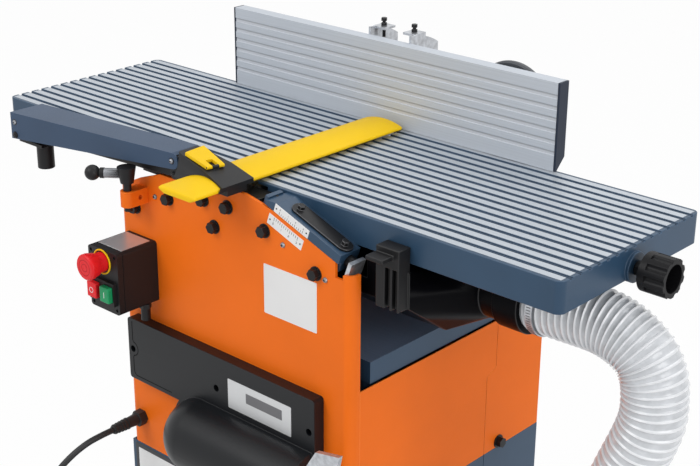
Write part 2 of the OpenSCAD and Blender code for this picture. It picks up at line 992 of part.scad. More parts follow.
// Black link plate with its two bolts on the front block
module link_plate() {
  y = -(panel_y + half_w) / 2;
  color("#1f2022") at_table() on_slope() translate([0, y, block_top]) {
    for (x = [link_from + link_w / 2, link_to - link_w / 2])
      translate([x, 0, 0]) {
        cylinder(d = link_w, h = link_t);
        translate([0, 0, link_t]) cylinder(d = link_bolt_d, h = link_bolt_h, $fn = 6);
      }
    slab(link_from + link_w / 2, link_to - link_w / 2, -link_w / 2, link_w / 2, 0, link_t);
  }
}

// Bar of the kickback fingers, and the bar that holds the nut of the depth screw
module cross_bars() {
  color("#8f9296") at_table() {
    bar_y(bar_r, -bar_x, -bar_z, -panel_in, panel_in);
    slab(nut_bar_x - nut_bar_w / 2, nut_bar_x + nut_bar_w / 2, -panel_in, panel_in, -nut_bar_z0,
      -nut_bar_z1);
    difference() {
      slab(nut_bar_x - nut_lug_t / 2, nut_bar_x + nut_lug_t / 2, -nut_lug_w / 2, nut_lug_w / 2,
        -nut_bar_z1, -nut_lug_z);
      slab(nut_bar_x - nut_lug_t, nut_bar_x + nut_lug_t, -nut_slot_w / 2, nut_slot_w / 2,
        -nut_slot_z, 0);
    }
  }
}

module kickback_fingers() {
  color("#77797d") at_table() for (i = [0 : finger_count - 1]) {
    y = (i - (finger_count - 1) / 2) * finger_pitch;
    difference() {
      union() {
        bar_y(finger_eye_r, -bar_x, -bar_z, y - finger_t / 2, y + finger_t / 2);
        plate_xz(y - finger_t / 2, y + finger_t / 2) translate([-bar_x, -bar_z])
          polygon([[-finger_w / 2, 0], [finger_w / 2, 0], [finger_w / 2, -finger_len], [0,
            -finger_len],
            [-finger_w / 2, finger_w - finger_len]]);
      }
      bar_y(bar_r + run, -bar_x, -bar_z, y - finger_t, y + finger_t);
    }
  }
}

// Cutterblock with its shaft and belt pulley
module cutterblock() {
  color("#a5a8ac") at_table() translate([0, 0, -cut_r]) {
    difference() {
      bar_y(core_r, 0, 0, -block_half, block_half);
      for (i = [0 : knife_count - 1]) rotate([0, i * 360 / knife_count, 0]) {
        slab(-knife_t / 2, knife_t / 2, -block_half - over, block_half + over, knife_root, cut_r);
        bar_y(gullet_r, gullet_r, core_r, -block_half - over, block_half + over);
      }
    }
    bar_y(journal_r, 0, 0, -housing_in - bearing_t, -block_half);
    bar_y(journal_r, 0, 0, block_half, shaft_back);
    bar_y(block_pulley_r, 0, 0, panel_y + pulley_y0, panel_y + pulley_y1);
  }
}

module knives() {
  color("#d3d6d9") at_table() translate([0, 0, -cut_r]) for (i = [0 : knife_count - 1])
    rotate([0, i * 360 / knife_count, 0])
      slab(-knife_t / 2, knife_t / 2, -block_half, block_half, knife_root, cut_r);
}

// Feed roller with its pins, and a sprocket at the back
module roller(x) {
  bar_y(roller_d / 2, x, -roller_z, -roller_half, roller_half);
  bar_y(pin_r, x, -roller_z, -pin_front, -roller_half);
  bar_y(pin_r, x, -roller_z, roller_half, panel_y + rear_chain_y1);
  bar_y(rear_sprocket_r, x, -roller_z, panel_y + rear_chain_y0, panel_y + rear_chain_y1);
}

module infeed_roller() {
  color("#8b8e92") at_table() {
    difference() {
      roller(-roller_x);
      for (i = [0 : flute_count - 1]) {
        a = i * 360 / flute_count;
        bar_y(flute_r, roller_d / 2 * cos(a) - roller_x, roller_d / 2 * sin(a) - roller_z,
          -roller_half - over, roller_half + over);
      }
    }
    bar_y(front_sprocket_r, -roller_x, -roller_z, -front_chain_y1, -front_chain_y0);
  }
}

module outfeed_roller() {
  color("#a0a3a7") at_table() roller(roller_x);
}

// Motor and the shafts it drives
module motor() {
  foot_top = motor_r / 2;
  color("#5a5d61") at_table() difference() {
    union() {
      bar_y(motor_r, motor_x, -drive_z, motor_bell - motor_half, motor_half - motor_bell);
      bar_y(motor_bell_r, motor_x, -drive_z, -motor_half, motor_half);
      slab(motor_x - motor_foot_w / 2, motor_x + motor_foot_w / 2, -motor_foot_l / 2,
        motor_foot_l / 2,
        -shelf_z, -drive_z - foot_top);
    }
    bar_y(shaft_r + run, motor_x, -drive_z, -motor_half - over, motor_half + over);
  }
}

module motor_shaft() {
  color("#a9acb0") at_table() {
    bar_y(shaft_r, motor_x, -drive_z, -panel_y - feed_y1, panel_y + pulley_y1);
    bar_y(motor_pulley_r, motor_x, -drive_z, panel_y + pulley_y0, panel_y + pulley_y1);
    bar_y(pinion_r, motor_x, -drive_z, -panel_y - feed_y1, -panel_y - feed_y0);
  }
}

module feed_shaft() {
  color("#a9acb0") at_table() {
    bar_y(shaft_r, feed_x, -drive_z, -panel_y - feed_y1, -front_chain_y0);
    bar_y(wheel_r, feed_x, -drive_z, -panel_y - feed_y1, -panel_y - feed_y0);
    bar_y(feed_sprocket_r, feed_x, -drive_z, -front_chain_y1, -front_chain_y0);
  }
}

module drive_belt() {
  color("#18191b") at_table() {
    plate_xz(panel_y + pulley_y0 + over, panel_y + pulley_y1 - over)
      loop_band([[0, -cut_r, block_pulley_r], [motor_x, -drive_z, motor_pulley_r]], belt_t);
  }
}

module chains() {
  color("#55585c") at_table() {
    plate_xz(-front_chain_y1, -front_chain_y0)
      loop_band([[feed_x, -drive_z, feed_sprocket_r], [-roller_x, -roller_z, front_sprocket_r]],
        chain_t);
    plate_xz(panel_y + rear_chain_y0, panel_y + rear_chain_y1)
      loop_band([for (s = [-1, 1]) [s * roller_x, -roller_z, rear_sprocket_r]], chain_t);
    translate([0, 0, -lift_chain_z0]) linear_extrude(lift_chain_z0 - lift_chain_z1)
      loop_band([for (x = [-1, 1], y = [-1, 1]) [x * screw_x, y * screw_y, lift_sprocket_r]],
        chain_t);
  }
}

// Thicknessing bed and the four screws that lift it
module thicknesser_bed() {
  low = -bed_drop - bed_rim;
  color("#3f4e66") at_table() difference() {
    union() {
      difference() {
        slab(-bed_x, bed_x, -bed_half, bed_half, low, -bed_drop);
        slab(bed_wall - bed_x, bed_x - bed_wall, bed_wall - bed_half, bed_half - bed_wall,
          low - over,
          -bed_drop - bed_top_t);
      }
      for (x = [-1, 1], y = [-1, 1])
        bar_z(boss_r, x * screw_x, y * screw_y, low - boss_len, -bed_drop - bed_top_t);
    }
    for (x = [-1, 1], y = [-1, 1])
      bar_z(screw_r + run, x * screw_x, y * screw_y, low - boss_len - over, gap - screw_top);
  }
}

module lift_screw(x, y) {
  bar_z(screw_r, x, y, gap - shelf_z, -screw_top);
  bar_z(screw_end_r, x, y, -shelf_z - screw_end, gap - shelf_z);
  bar_z(lift_sprocket_r, x, y, -lift_chain_z0, -lift_chain_z1);
}

module lift_screw_1() {
  color("#9fa2a6") at_table() {
    lift_screw(screw_x, -screw_y);
    translate([screw_x, -screw_y, -crank_z - bevel_r - bevel_gap - bevel_t])
      cylinder(r1 = bevel_r, r2 = screw_r, h = bevel_t);
  }
}
module lift_screw_2() {
  color("#9fa2a6") at_table() lift_screw(-screw_x, -screw_y);
}
module lift_screw_3() {
  color("#9fa2a6") at_table() lift_screw(-screw_x, screw_y);
}
module lift_screw_4() {
  color("#9fa2a6") at_table() lift_screw(screw_x, screw_y);
}

// Crank of the lift, with its shaft and bevel wheel
module rise_crank() {
  y1 = -screw_y - screw_r - bevel_gap;
  color("#b4b7ba") at_table() translate([screw_x, 0, -crank_z]) {
    bar_y(crank_r, 0, 0, -crank_y, y1 - bevel_t);
    translate([0, y1 - bevel_t, 0]) rotate([-90, 0, 0]) cylinder(r1 = bevel_r, r2 = bevel_small_r,
      h = bevel_t);
    bar_y(crank_hub_r, 0, 0, -crank_y, crank_hub_t - crank_y);
    rotate([0, -crank_tilt, 0]) plate_xz(-crank_y, crank_t - crank_y)
      polygon([[-crank_tail, -grip_r], [-crank_tail, grip_r], [0, crank_w / 2],
        [crank_len - crank_point, crank_w / 2], [crank_len, -crank_w / 4],
        [crank_len - crank_point, -crank_w / 2], [0, -crank_w / 2]]);
    rotate([0, -crank_tilt, 0]) bar_y(grip_r, -crank_tail, 0, -crank_y - grip_len, -crank_y);
  }
}

// Fence profile in Y and Z
module fence_profile(inset) {
  polygon([[fence_y + inset, fence_rest + inset], [fence_y + fence_land, fence_rest + inset],
    [fence_y + fence_t - inset, fence_rest + fence_chamfer + inset],
    [fence_y + fence_t - inset, fence_rest + fence_h - inset], [fence_y + inset, fence_rest
      + fence_h - inset]]);
}

module fence() {
  color("#b9bdc1") at_table() plate_yz(fence_x0 + cap_t, fence_x0 + fence_len - cap_t) difference() {
    fence_profile(0);
    fence_profile(fence_wall);
    for (i = [0 : face_groove_count - 1])
      translate([fence_y - over, fence_rest + fence_h - face_groove_top - i * face_groove_pitch
        - face_groove_w / 2]) square([face_groove_d + over, face_groove_w]);
  }
}

module fence_caps() {
  color("#2d3442") at_table() for (x = [fence_x0, fence_x0 + fence_len - cap_t])
    plate_yz(x, x + cap_t) fence_profile(0);
}

// Zinc quadrants on the back of the fence, with bent tabs, centred on the tilt hinge
module quadrant_shape() {
  back = fence_y + fence_t;
  far = hinge_y + quadrant_r * quadrant_y_share;
  difference() {
    union() {
      intersection() {
        translate([hinge_y, hinge_z]) circle(r = quadrant_r);
        polygon([[back, fence_rest + fence_t], [hinge_y + 2 * hinge_eye_r, hinge_z],
          [far, hinge_z + quadrant_r * quadrant_y_share], [far, hinge_z + quadrant_r],
          [back, hinge_z + quadrant_r]]);
      }
      intersection() {
        union() {
          translate([hinge_y, hinge_z]) circle(r = hinge_eye_r);
          polygon([[hinge_y, hinge_z], [hinge_y, hinge_z - hinge_eye_r],
            [hinge_y + 2 * hinge_eye_r, hinge_z], [back + gap, fence_rest + fence_t]]);
        }
        difference() {
          translate([fence_y, -fence_t]) square([2 * fence_t, fence_h]);
          fence_profile(0);
        }
      }
    }
    translate([hinge_y, hinge_z]) circle(r = hinge_r + run);
    translate([hinge_y + quadrant_r * quadrant_y_share / 2, hinge_z + quadrant_r * quadrant_y_share])
      circle(r = quadrant_hole_r);
  }
}

module fence_brackets() {
  back = fence_y + fence_t;
  top = hinge_z + quadrant_r;
  color("#c9ccd0") at_table() {
    for (x = quadrant_x) plate_yz(x, x + quadrant_t) quadrant_shape();
    for (i = [0, 1]) {
      x = i == 0 ? quadrant_x[0] : quadrant_x[1] + quadrant_t - tab_len;
      difference() {
        slab(x, x + tab_len, back + tab_back, back + tab_back + tab_w, top - quadrant_t, top);
        bar_z(stop_r, x + tab_len / 2, back + tab_back + tab_w / 2, top - 2 * quadrant_t, top
          + over);
      }
      xe = i == 0 ? x : x + tab_len - quadrant_t;
      slab(xe, xe + quadrant_t, back + tab_back, back + tab_back + tab_w, top - tab_w / 2, top);
    }
  }
}

module stop_bolts() {
  top = hinge_z + quadrant_r;
  y = fence_y + fence_t + tab_back + tab_w / 2;
  color("#1c1d1f") at_table()
    for (x = [quadrant_x[0] + tab_len / 2, quadrant_x[1] + quadrant_t - tab_len / 2]) {
      bar_z(stop_r - run, x, y, top - stop_below, top + stop_above);
      translate([x, y, top]) cylinder(r = stop_head_r, h = stop_nut_h, $fn = 6);
      translate([x, y, top + stop_above]) cylinder(r = stop_head_r, h = stop_head_h, $fn = 6);
    }
}

module fence_base() {
  color("#c3c6c9") at_table() {
    slab(fence_base_x0, fence_base_x1, half_w + room, panel_in, -housing_z1,
      fence_base_t - housing_z1);
    for (x = [quadrant_x[0] + quadrant_t + gap, quadrant_x[1] - gap - cheek_t])
      plate_yz(x, x + cheek_t) {
        translate([hinge_y, hinge_z]) circle(r = hinge_eye_r);
        translate([hinge_y - hinge_eye_r + over, fence_base_t - housing_z1])
          square([2 * hinge_eye_r - over, hinge_z + housing_z1 - fence_base_t]);
      }
    bar_x(hinge_r, hinge_y, hinge_z, quadrant_x[0] - over, quadrant_x[0] + quadrant_t + gap);
    bar_x(hinge_r, hinge_y, hinge_z, quadrant_x[1] - gap, quadrant_x[1] + quadrant_t + over);
  }
}

module fence_knob() {
  y0 = fence_y + fence_t + gap;
  r = fence_knob_d / 2;
  color("#4a4c50") at_table() translate([fence_knob_x, y0, fence_rest + fence_knob_z]) rotate([-90,
    0, 0]) {
    cylinder(r = fence_stem_r, h = fence_knob_gap);
    translate([0, 0, fence_knob_gap]) rotate_extrude() polygon([[0, 0], [r, 0],
      [r, fence_knob_t * knob_rim_share], [r * knob_face_share, fence_knob_t], [0, fence_knob_t]]);
  }
}
knob_rim_share = 0.6;
knob_face_share = 0.8;

// Bridge guard
function arm_right_x() = arm_x + arm_len * cos(arm_a);
function arm_right_z() = arm_z + arm_len * sin(arm_a);

// Side view of the arm with its round right end, and of the hollow under its roof
module arm_side() {
  xl = arm_x - arm_tail;
  polygon(concat([[xl, arm_z - arm_left_down], [xl, arm_z + arm_left_up]],
    [for (i = [0 : arm_end_steps]) let (a = 90 - i * 180 / arm_end_steps)
      [arm_right_x() + arm_right_r * cos(a), arm_right_z() + arm_right_r * sin(a)]]));
}

module arm_hollow() {
  xl = arm_x - arm_tail - over;
  xr = arm_right_x() + arm_right_r + over;
  z = arm_right_z() + arm_right_r - arm_wall;
  polygon([[xl, arm_z - 2 * arm_left_down], [xl, arm_z + arm_left_up - arm_wall], [arm_right_x(), z],
      [xr, z],
    [xr, arm_z - 2 * arm_left_down]]);
}

// Plan of the arm, narrowed by an inset
module arm_plan(inset) {
  xl = arm_x - arm_tail - inset;
  xr = arm_right_x() + arm_right_r + inset;
  polygon([[xl, inset - arm_back_y - arm_left_w], [xr, inset - arm_back_y - arm_right_w],
    [xr, -inset - arm_back_y], [xl, -inset - arm_back_y]]);
}

module guard_arm() {
  y0 = -arm_back_y - arm_left_w - over;
  color("#56657d") at_table() difference() {
    intersection() {
      plate_xz(y0, -arm_back_y) arm_side();
      translate([0, 0, -arm_len]) linear_extrude(2 * arm_len) arm_plan(0);
    }
    intersection() {
      plate_xz(y0, over - arm_back_y) arm_hollow();
      translate([0, 0, -arm_len]) linear_extrude(2 * arm_len) arm_plan(arm_wall);
    }
    bar_y(arm_pin_r + run, arm_x, arm_z, y0, over - arm_back_y);
    bar_y(arm_pin_r + run, arm_right_x(), arm_right_z(), y0, over - arm_back_y);
  }
}

module guard_link() {
  z = arm_z - link_drop;
  color("#1f2022") at_table() difference() {
    translate([arm_x, 0, z]) rotate([0, -arm_a, 0]) {
      slab(0, arm_len, -link_y0, -link_y1, -link_h / 2, link_h / 2);
      bar_y(link_h / 2, 0, 0, -link_y0, -link_y1);
      bar_y(link_h / 2, arm_len, 0, -link_y0, -link_y1);
    }
    bar_y(arm_pin_r + run, arm_x, z, -link_y0 - over, over - link_y1);
    bar_y(arm_pin_r + link_play, arm_right_x(), arm_right_z() - link_drop, -link_y0 - over,
      over - link_y1);
  }
}

module guard_bracket() {
  color("#2a2b2e") at_table() {
    slab(bracket_x0, bracket_x1, -half_w - bracket_t, -half_w, -bracket_low, -bracket_top);
    difference() {
      slab(bracket_x0, bracket_x1, -arm_back_y - arm_right_w, -half_w - bracket_t, -bracket_low,
        bracket_t - bracket_low);
      bar_z(guard_stud_r + run, guard_knob_x, -guard_knob_y, -bracket_low - over,
        bracket_t - bracket_low + over);
    }
    bar_y(bracket_post_r, arm_x, arm_z, -bracket_post_y, -arm_back_y - arm_wall - gap);
    slab(arm_x - bracket_post_r, arm_x + bracket_post_r, -bracket_post_y, -arm_back_y - arm_wall - gap,
      bracket_t - bracket_low, arm_z);
    bar_y(arm_pin_r, arm_x, arm_z, -arm_back_y - arm_left_w, -bracket_post_y);
    bar_y(arm_pin_r, arm_x, arm_z, -arm_back_y - arm_wall - gap, -arm_back_y);
    bar_y(arm_pin_r, arm_x, arm_z - link_drop, -link_y0 - over, -bracket_post_y);
  }
}

module guard_knob() {
  top = -bracket_low - gap;
  color("#232427") at_table() {
    bar_z(guard_knob_d / 2, guard_knob_x, -guard_knob_y, top - guard_knob_h, top);
    bar_z(guard_stud_r, guard_knob_x, -guard_knob_y, top, bracket_t - bracket_low);
  }
}

// Crowned section of the blade in X and Z, grown all round by a clearance
module blade_section(play) {
  rise = blade_crown - blade_edge;
  r = (blade_w * blade_w / 4 + rise * rise) / (2 * rise) + play;
  half = blade_w / 2 + play;
  low = blade_low - play;
  side = blade_low + blade_side - play;
  top = blade_low + blade_crown + 2 * play;
  intersection() {
    translate([blade_x, blade_low + blade_crown + play - r]) circle(r = r, $fn = 96);
    translate([blade_x, 0]) polygon([[blade_foot - half, low], [half - blade_foot, low], [half, side],
      [half, top], [-half, top], [-half, side]]);
  }
}

// Blade whose crown runs out towards its front edge
module guard_blade() {
  a = atan((blade_crown - blade_nose) / blade_tip);
  color("#f2c21a") at_table() difference() {
    plate_xz(blade_front, blade_front + blade_len) blade_section(0);
    translate([0, blade_front, blade_low + blade_nose]) rotate([a, 0, 0])
      slab(blade_x - blade_w, blade_x + blade_w, -blade_tip, 2 * blade_tip, 0, blade_crown);
  }
}

// Black holder that arches over the blade, with a shoe under it
holder_x0 = blade_x - blade_w / 2 - holder_left;
holder_x1 = blade_x + blade_w / 2 + holder_side;
function ridge_x() = arm_right_x() + arm_right_r + holder_ridge_gap;
function roof_a() = atan((holder_ridge_z - holder_knee_z) / (holder_knee_x - ridge_x()));

module holder_side_view() {
  polygon([[ridge_x(), holder_ridge_z], [holder_knee_x, holder_knee_z],
    [holder_x1, blade_low + holder_roof], [holder_x1, holder_sill], [holder_x0, holder_low],
    [ridge_x(), holder_low]]);
}

// Hollow that runs along the front of the roof and narrows to its lower end
module holder_scoop() {
  z1 = blade_low + holder_roof;
  run_x = holder_x1 - ridge_x();
  drop = holder_ridge_z - z1;
  translate([ridge_x(), -holder_y0, holder_ridge_z]) rotate([0, 90 + atan(drop / run_x), 0])
    cylinder(r1 = scoop_left_r, r2 = scoop_right_r, h = norm([run_x, drop]));
}

module holder_cheek(y0, y1) {
  xr = arm_right_x();
  zr = arm_right_z();
  bar_y(holder_hub_r, xr, zr, y0, y1);
  bar_y(holder_pin_r, xr, zr - link_drop, y0, y1);
  plate_xz(y0, y1) polygon([[xr, zr + holder_hub_r], [ridge_x() + holder_cheek_t, zr + holder_hub_r],
    [ridge_x() + holder_cheek_t, holder_low], [xr + holder_pin_r, zr - link_drop],
    [xr - holder_pin_r, zr - link_drop], [xr - holder_hub_r, zr]]);
}

// Frame of the latch: its pin at the origin, on the roof and turned in the roof's plane
module at_latch() {
  translate([ridge_x(), -latch_far - arm_back_y, holder_ridge_z]) rotate([0, roof_a(), 0])
    translate([latch_in, 0, gap + latch_t / 2]) rotate([0, 0, -latch_skew])
      translate([latch_len, 0, 0]) children();
}

module guard_holder() {
  xr = arm_right_x();
  zr = arm_right_z();
  front = -arm_back_y - arm_right_w;
  cheek_front = front + arm_wall + gap;
  cheek_back = -arm_back_y - arm_wall - gap;
  notch = latch_w_low / 2 - latch_leg - gap;
  shoe_z = blade_low - holder_play;
  color("#232427") at_table() {
    difference() {
      union() {
        intersection() {
          plate_xz(-holder_y0, -holder_y1) holder_side_view();
          translate([0, 0, -holder_y0]) linear_extrude(2 * holder_y0) polygon([[ridge_x(), cheek_front],
            [holder_x0, -holder_y0], [holder_x1, -holder_y0], [holder_x1, -holder_y1],
            [ridge_x(), -holder_y1]]);
        }
        slab(holder_x0, holder_x1, -shoe_y0, -shoe_y1, shoe_z - shoe_t, holder_sill + over);
      }
      holder_scoop();
      plate_xz(-holder_y0 - over, over - holder_y1) blade_section(holder_play);
      for (y = [[-holder_y0 - over, -shoe_y0], [-shoe_y1, over - holder_y1]])
        slab(blade_x - blade_w / 2 - holder_play, holder_x1 + over, y[0], y[1], shoe_z - shoe_t,
            holder_sill);
    }
    holder_cheek(cheek_front, cheek_front + holder_cheek_t);
    holder_cheek(cheek_back - cheek_back_t, cheek_back);
    bar_y(arm_pin_r, xr, zr, front, cheek_front);
    bar_y(arm_pin_r, xr, zr, cheek_back, -arm_back_y);
    bar_y(arm_pin_r, xr, zr - link_drop, cheek_front + holder_cheek_t, cheek_back - cheek_back_t);
    at_latch() {
      bar_y(latch_t / 2, 0, 0, -notch, notch);
      slab(-latch_t / 2, latch_t / 2, -notch, notch, -latch_t, 0);
      bar_y(latch_pin_r, 0, 0, -latch_w_low / 2, latch_w_low / 2);
    }
  }
}

// Yellow clip on the sloping roof, hinged between its legs
module guard_latch() {
  low = latch_w_low / 2;
  root = latch_leg - low;
  color("#f2c21a") at_table() at_latch() difference() {
    union() {
      translate([0, 0, -latch_t / 2]) linear_extrude(latch_t) polygon([[latch_cant - latch_len,
          -latch_w_top / 2],
        [0, -low], [0, root], [-latch_leg_len, root], [-latch_leg_len, -root], [0, -root], [0, low],
        [-latch_len - latch_cant, latch_w_top / 2]]);
      bar_y(latch_t / 2, 0, 0, -low, root);
      bar_y(latch_t / 2, 0, 0, -root, low);
    }
    bar_y(latch_pin_r + run, 0, 0, -latch_w_top, latch_w_top);
  }
}

// Table lock
module lock_bracket() {
  color("#e0692a") at_table() difference() {
    union() {
      slab(lock_x - lock_bracket_r, lock_x + lock_bracket_r, -lock_y, -panel_y, -lock_bracket_z0,
        -lock_bracket_z1);
      bar_z(lock_bracket_r, lock_x, -lock_y, -lock_bracket_z0, -lock_bracket_z1);
    }
    bar_z(stud_r + run, lock_x, -lock_y, -lock_bracket_z0 - over, over - lock_bracket_z1);
    bar_x(lock_side_hole_r, -(lock_y + panel_y) / 2, -(lock_bracket_z0 + lock_bracket_z1) / 2,
      lock_x - lock_bracket_r - over, lock_x + lock_bracket_r + over);
  }
}

// Frame of the lever: its axis at the origin, turned to the side where it rests
module at_lever() {
  translate([lock_x, -lock_y, -handle_z]) rotate([0, 0, handle_a]) children();
}

module lock_lever() {
  color("#2c2d30") at_table() {
    bar_z(stud_r, lock_x, -lock_y, -stud_low, -hub_low);
    translate([lock_x, -lock_y, -hub_low]) cylinder(r1 = hub_foot_r, r2 = hub_r, h = hub_low - hub_top);
    at_lever() bar_x(handle_r, 0, 0, -handle_len, 0);
  }
}

module lock_ball() {
  color("#1c1d1f") at_table() at_lever() translate([-handle_len, 0, 0]) rotate([0, -90, 0])
    rotate_extrude() polygon([[0, 0], [ball_neck_r, 0], [ball_neck_r, ball_len * ball_neck_share],
      for (i = [0 : 12]) [ball_r * sin(30 + i * 12.5), ball_len - ball_r - ball_r * cos(30
        + i * 12.5)]]);
}
ball_neck_share = 0.2;

// Switch box, its gland and buttons
module switch_box() {
  x0 = box_x - box_w / 2;
  y0 = -panel_y - box_d;
  z0 = -box_top - box_h;
  color("#232427") at_table() difference() {
    union() {
      plate_xz(y0, -panel_y) rounded(x0, x0 + box_w, z0, z0 + box_h, box_corner);
      slab(box_x - frame_w / 2, box_x + frame_w / 2, y0 - frame_t, y0, z0 + frame_z - frame_h / 2,
        z0 + frame_z + frame_h / 2);
      bar_z(gland_r, box_x + gland_x, -panel_y - gland_y, z0 - gland_len, z0);
      translate([box_x + gland_x, -panel_y - gland_y, z0 - gland_nut_h])
        cylinder(d = gland_nut_d, h = gland_nut_h, $fn = 6);
    }
    for (x = [x0 + lid_screw_in, x0 + box_w - lid_screw_in],
      z = [z0 + lid_screw_in, -box_top - lid_screw_in])
      bar_y(lid_screw_r, x, z, y0 - over, y0 + room);
    for (x = [x0 - over, x0 + box_w - box_seam])
      slab(x, x + box_seam + over, y0 + box_seam_y, y0 + box_seam_y + box_seam, z0 - over,
        -box_top + over);
    bar_y(mushroom_neck_r + gap, box_x + mushroom_x, -box_top - mushroom_z, y0 - over,
      y0 + 2 * mushroom_travel);
    for (s = [-1, 1])
      slab(box_x + s * button_x - button_w / 2 - gap, box_x + s * button_x + button_w / 2 + gap,
        y0 - frame_t - over, y0 + button_travel + gap, z0 + frame_z - button_h / 2 - gap,
        z0 + frame_z + button_h / 2 + gap);
  }
}

module mushroom_button() {
  y0 = -panel_y - box_d;
  r = mushroom_d / 2;
  color("#d4262b") at_table() translate([box_x + mushroom_x, 0, -box_top - mushroom_z]) {
    bar_y(mushroom_neck_r, 0, 0, y0 - mushroom_out + mushroom_cap, y0 + mushroom_travel - gap);
    translate([0, y0 - mushroom_out + mushroom_cap, 0]) rotate([90, 0, 0]) rotate_extrude()
      polygon([[0, 0], [r * mushroom_root_share, 0], [r, mushroom_cap * mushroom_rim_share],
        [r, mushroom_cap * mushroom_face_share], [r * mushroom_face_share, mushroom_cap], [0,
          mushroom_cap]]);
  }
}
mushroom_root_share = 0.85;
mushroom_rim_share = 0.55;
mushroom_face_share = 0.88;

module push_button(side) {
  y0 = -panel_y - box_d;
  z = frame_z - box_top - box_h;
  slab(box_x + side * button_x - button_w / 2, box_x + side * button_x + button_w / 2,
    y0 - button_out, y0,
    z - button_h / 2, z + button_h / 2);
}
module start_button() {
  color("#2f9e57") at_table() push_button(1);
}
module stop_button() {
  color("#d4262b") at_table() push_button(-1);
}

// Dust hood: a tray under the cutterblock that funnels into a round port
module hood_mouth(x0, x1, inset, top, back) {
  slab(x0, x1, hood_y0 + inset, back - inset, inset - hood_edge, top);
}
module hood_keel(x0, x1, inset) {
  slab(x0, x1, hood_low_y0 + inset, hood_low_y1 - inset, inset - hood_low, inset
    + hood_slice - hood_low);
}
module hood_form(inset, open) {
  top_in = open > 0 ? open - hood_mouth : -hood_mouth - inset;
  hull() {
    hood_mouth(hood_x0 + inset, hood_x0 + inset + hood_slice, inset, -hood_mouth - inset, hood_y1);
    hood_mouth(hood_in - hood_slice, hood_in, inset, -hood_mouth - inset, hood_y1);
    hood_keel(hood_in - hood_slice, hood_in, inset);
  }
  hull() {
    hood_mouth(hood_in, hood_in + hood_slice, inset, -hood_under - inset, hood_y1);
    hood_mouth(hood_out - hood_slice, hood_out, inset, -hood_under - inset, hood_back);
    hood_keel(hood_in, hood_in + hood_slice, inset);
    hood_keel(hood_out - hood_slice, hood_out, inset);
  }
  hull() {
    hood_mouth(hood_out - hood_slice, hood_out, inset, -hood_under - inset, hood_back);
    hood_keel(hood_out - hood_slice, hood_out, inset);
    bar_x(port_r - inset, port_y, -port_z, port_x, port_x + hood_slice, $fn = 32);
  }
  if (open > 0)
    slab(hood_x0 + inset, mouth_x, hood_y0 + inset, hood_y1 - inset, -hood_edge + inset, top_in);
}

module dust_hood() {
  y1 = -half_w - gap;
  color("#232427") at_table() {
    difference() {
      union() {
        hood_form(0, 0);
        bar_x(port_r, port_y, -port_z, port_x, port_end);
        bar_x(sleeve_r, port_y, -port_z, sleeve_x, port_end);
        slab(runner_x0, runner_x1, -panel_in, hood_y0 + hood_wall, -hood_edge,
          runner_t - hood_edge);
        slab(runner_x0, runner_x1, hood_y1 - hood_wall, panel_in, -hood_edge,
          runner_t - hood_edge);
        slab(latch_x, latch_x + latch_w, y1 - latch_d, y1, -hood_edge, -latch_top);
        slab(latch_x, latch_x + thumb_w, y1 - latch_d - thumb_d, y1 - latch_d,
          -thumb_z - thumb_t, -thumb_z);
      }
      hood_form(hood_wall, over);
      bar_x(hose_bore_r, port_y, -port_z, port_x - over, port_end + over);
      for (i = [0, 1])
        slab(latch_x + latch_w * latch_slot_shares[i] - latch_slot_w / 2,
          latch_x + latch_w * latch_slot_shares[i] + latch_slot_w / 2,
          y1 - latch_d - over, y1 - latch_d + latch_slot_w, -hood_edge - over, -latch_slot_z);
    }
  }
}
latch_slot_shares = [0.5, 0.82];

module hose_clamp() {
  r = hose_d / 2 + gap;
  color("#c3c6c9") at_table() {
    difference() {
      bar_x(r + clamp_t, port_y, -port_z, clamp_x, clamp_x + clamp_w);
      bar_x(r, port_y, -port_z, clamp_x - over, clamp_x + clamp_w + over);
    }
    slab(clamp_x, clamp_x + clamp_w, port_y - clamp_box / 2, port_y + clamp_box / 2, r
      + clamp_t - port_z - over,
      r + clamp_t + clamp_box / 2 - port_z);
  }
}

// Sweeps of round section along a list of points
function unit(v) = v / norm(v);
function heading(p, i) = unit(p[min(i + 1, len(p) - 1)] - p[max(i - 1, 0)]);
function side_of(t, s) = unit(s - t * (s * t));
function carry_all(p, s) = [for (i = 0, v = side_of(heading(p, 0), s); i < len(p); i = i + 1,
  v = i < len(p) ? side_of(heading(p, i), v) : v) v];
function ring(c, t, s, r, n) = [for (k = [0 : n - 1])
  c + r * (cos(360 * k / n) * s + sin(360 * k / n) * cross(t, s))];

// Smooth curve through route points
function knot(p, i) = p[max(0, min(len(p) - 1, i))];
function on_curve(p, i, u) = let (a = knot(p, i - 1), b = knot(p, i), c = knot(p, i + 1), d = knot(p,
  i + 2))
  0.5 * (2 * b + (c - a) * u + (2 * a - 5 * b + 4 * c - d) * u * u + (3 * b - a - 3 * c
    + d) * u * u * u);
function smooth(p, n) = concat([for (i = [0 : len(p) - 2], k = [0 : n - 1]) on_curve(p, i, k / n)],
  [p[len(p) - 1]]);
function run_length(p) = [for (i = 0, s = 0; i < len(p); s = s + (i + 1 < len(p) ? norm(p[i
  + 1] - p[i]) : 0),
  i = i + 1) s];
function index_at(s, d, lo, hi) = hi - lo <= 1 ? lo
  : let (m = floor((lo + hi) / 2)) s[m] <= d ? index_at(s, d, m, hi) : index_at(s, d, lo, m);
function point_at(p, s, d) = let (i = index_at(s, d, 0, len(p) - 1), f = (d - s[i]) / (s[i + 1] - s[i]))
  p[i] + (p[i + 1] - p[i]) * f;
function even(p, n) = let (s = run_length(p), total = s[len(s) - 1])
  [for (i = [0 : n]) i == n ? p[len(p) - 1] : point_at(p, s, total * i / n)];

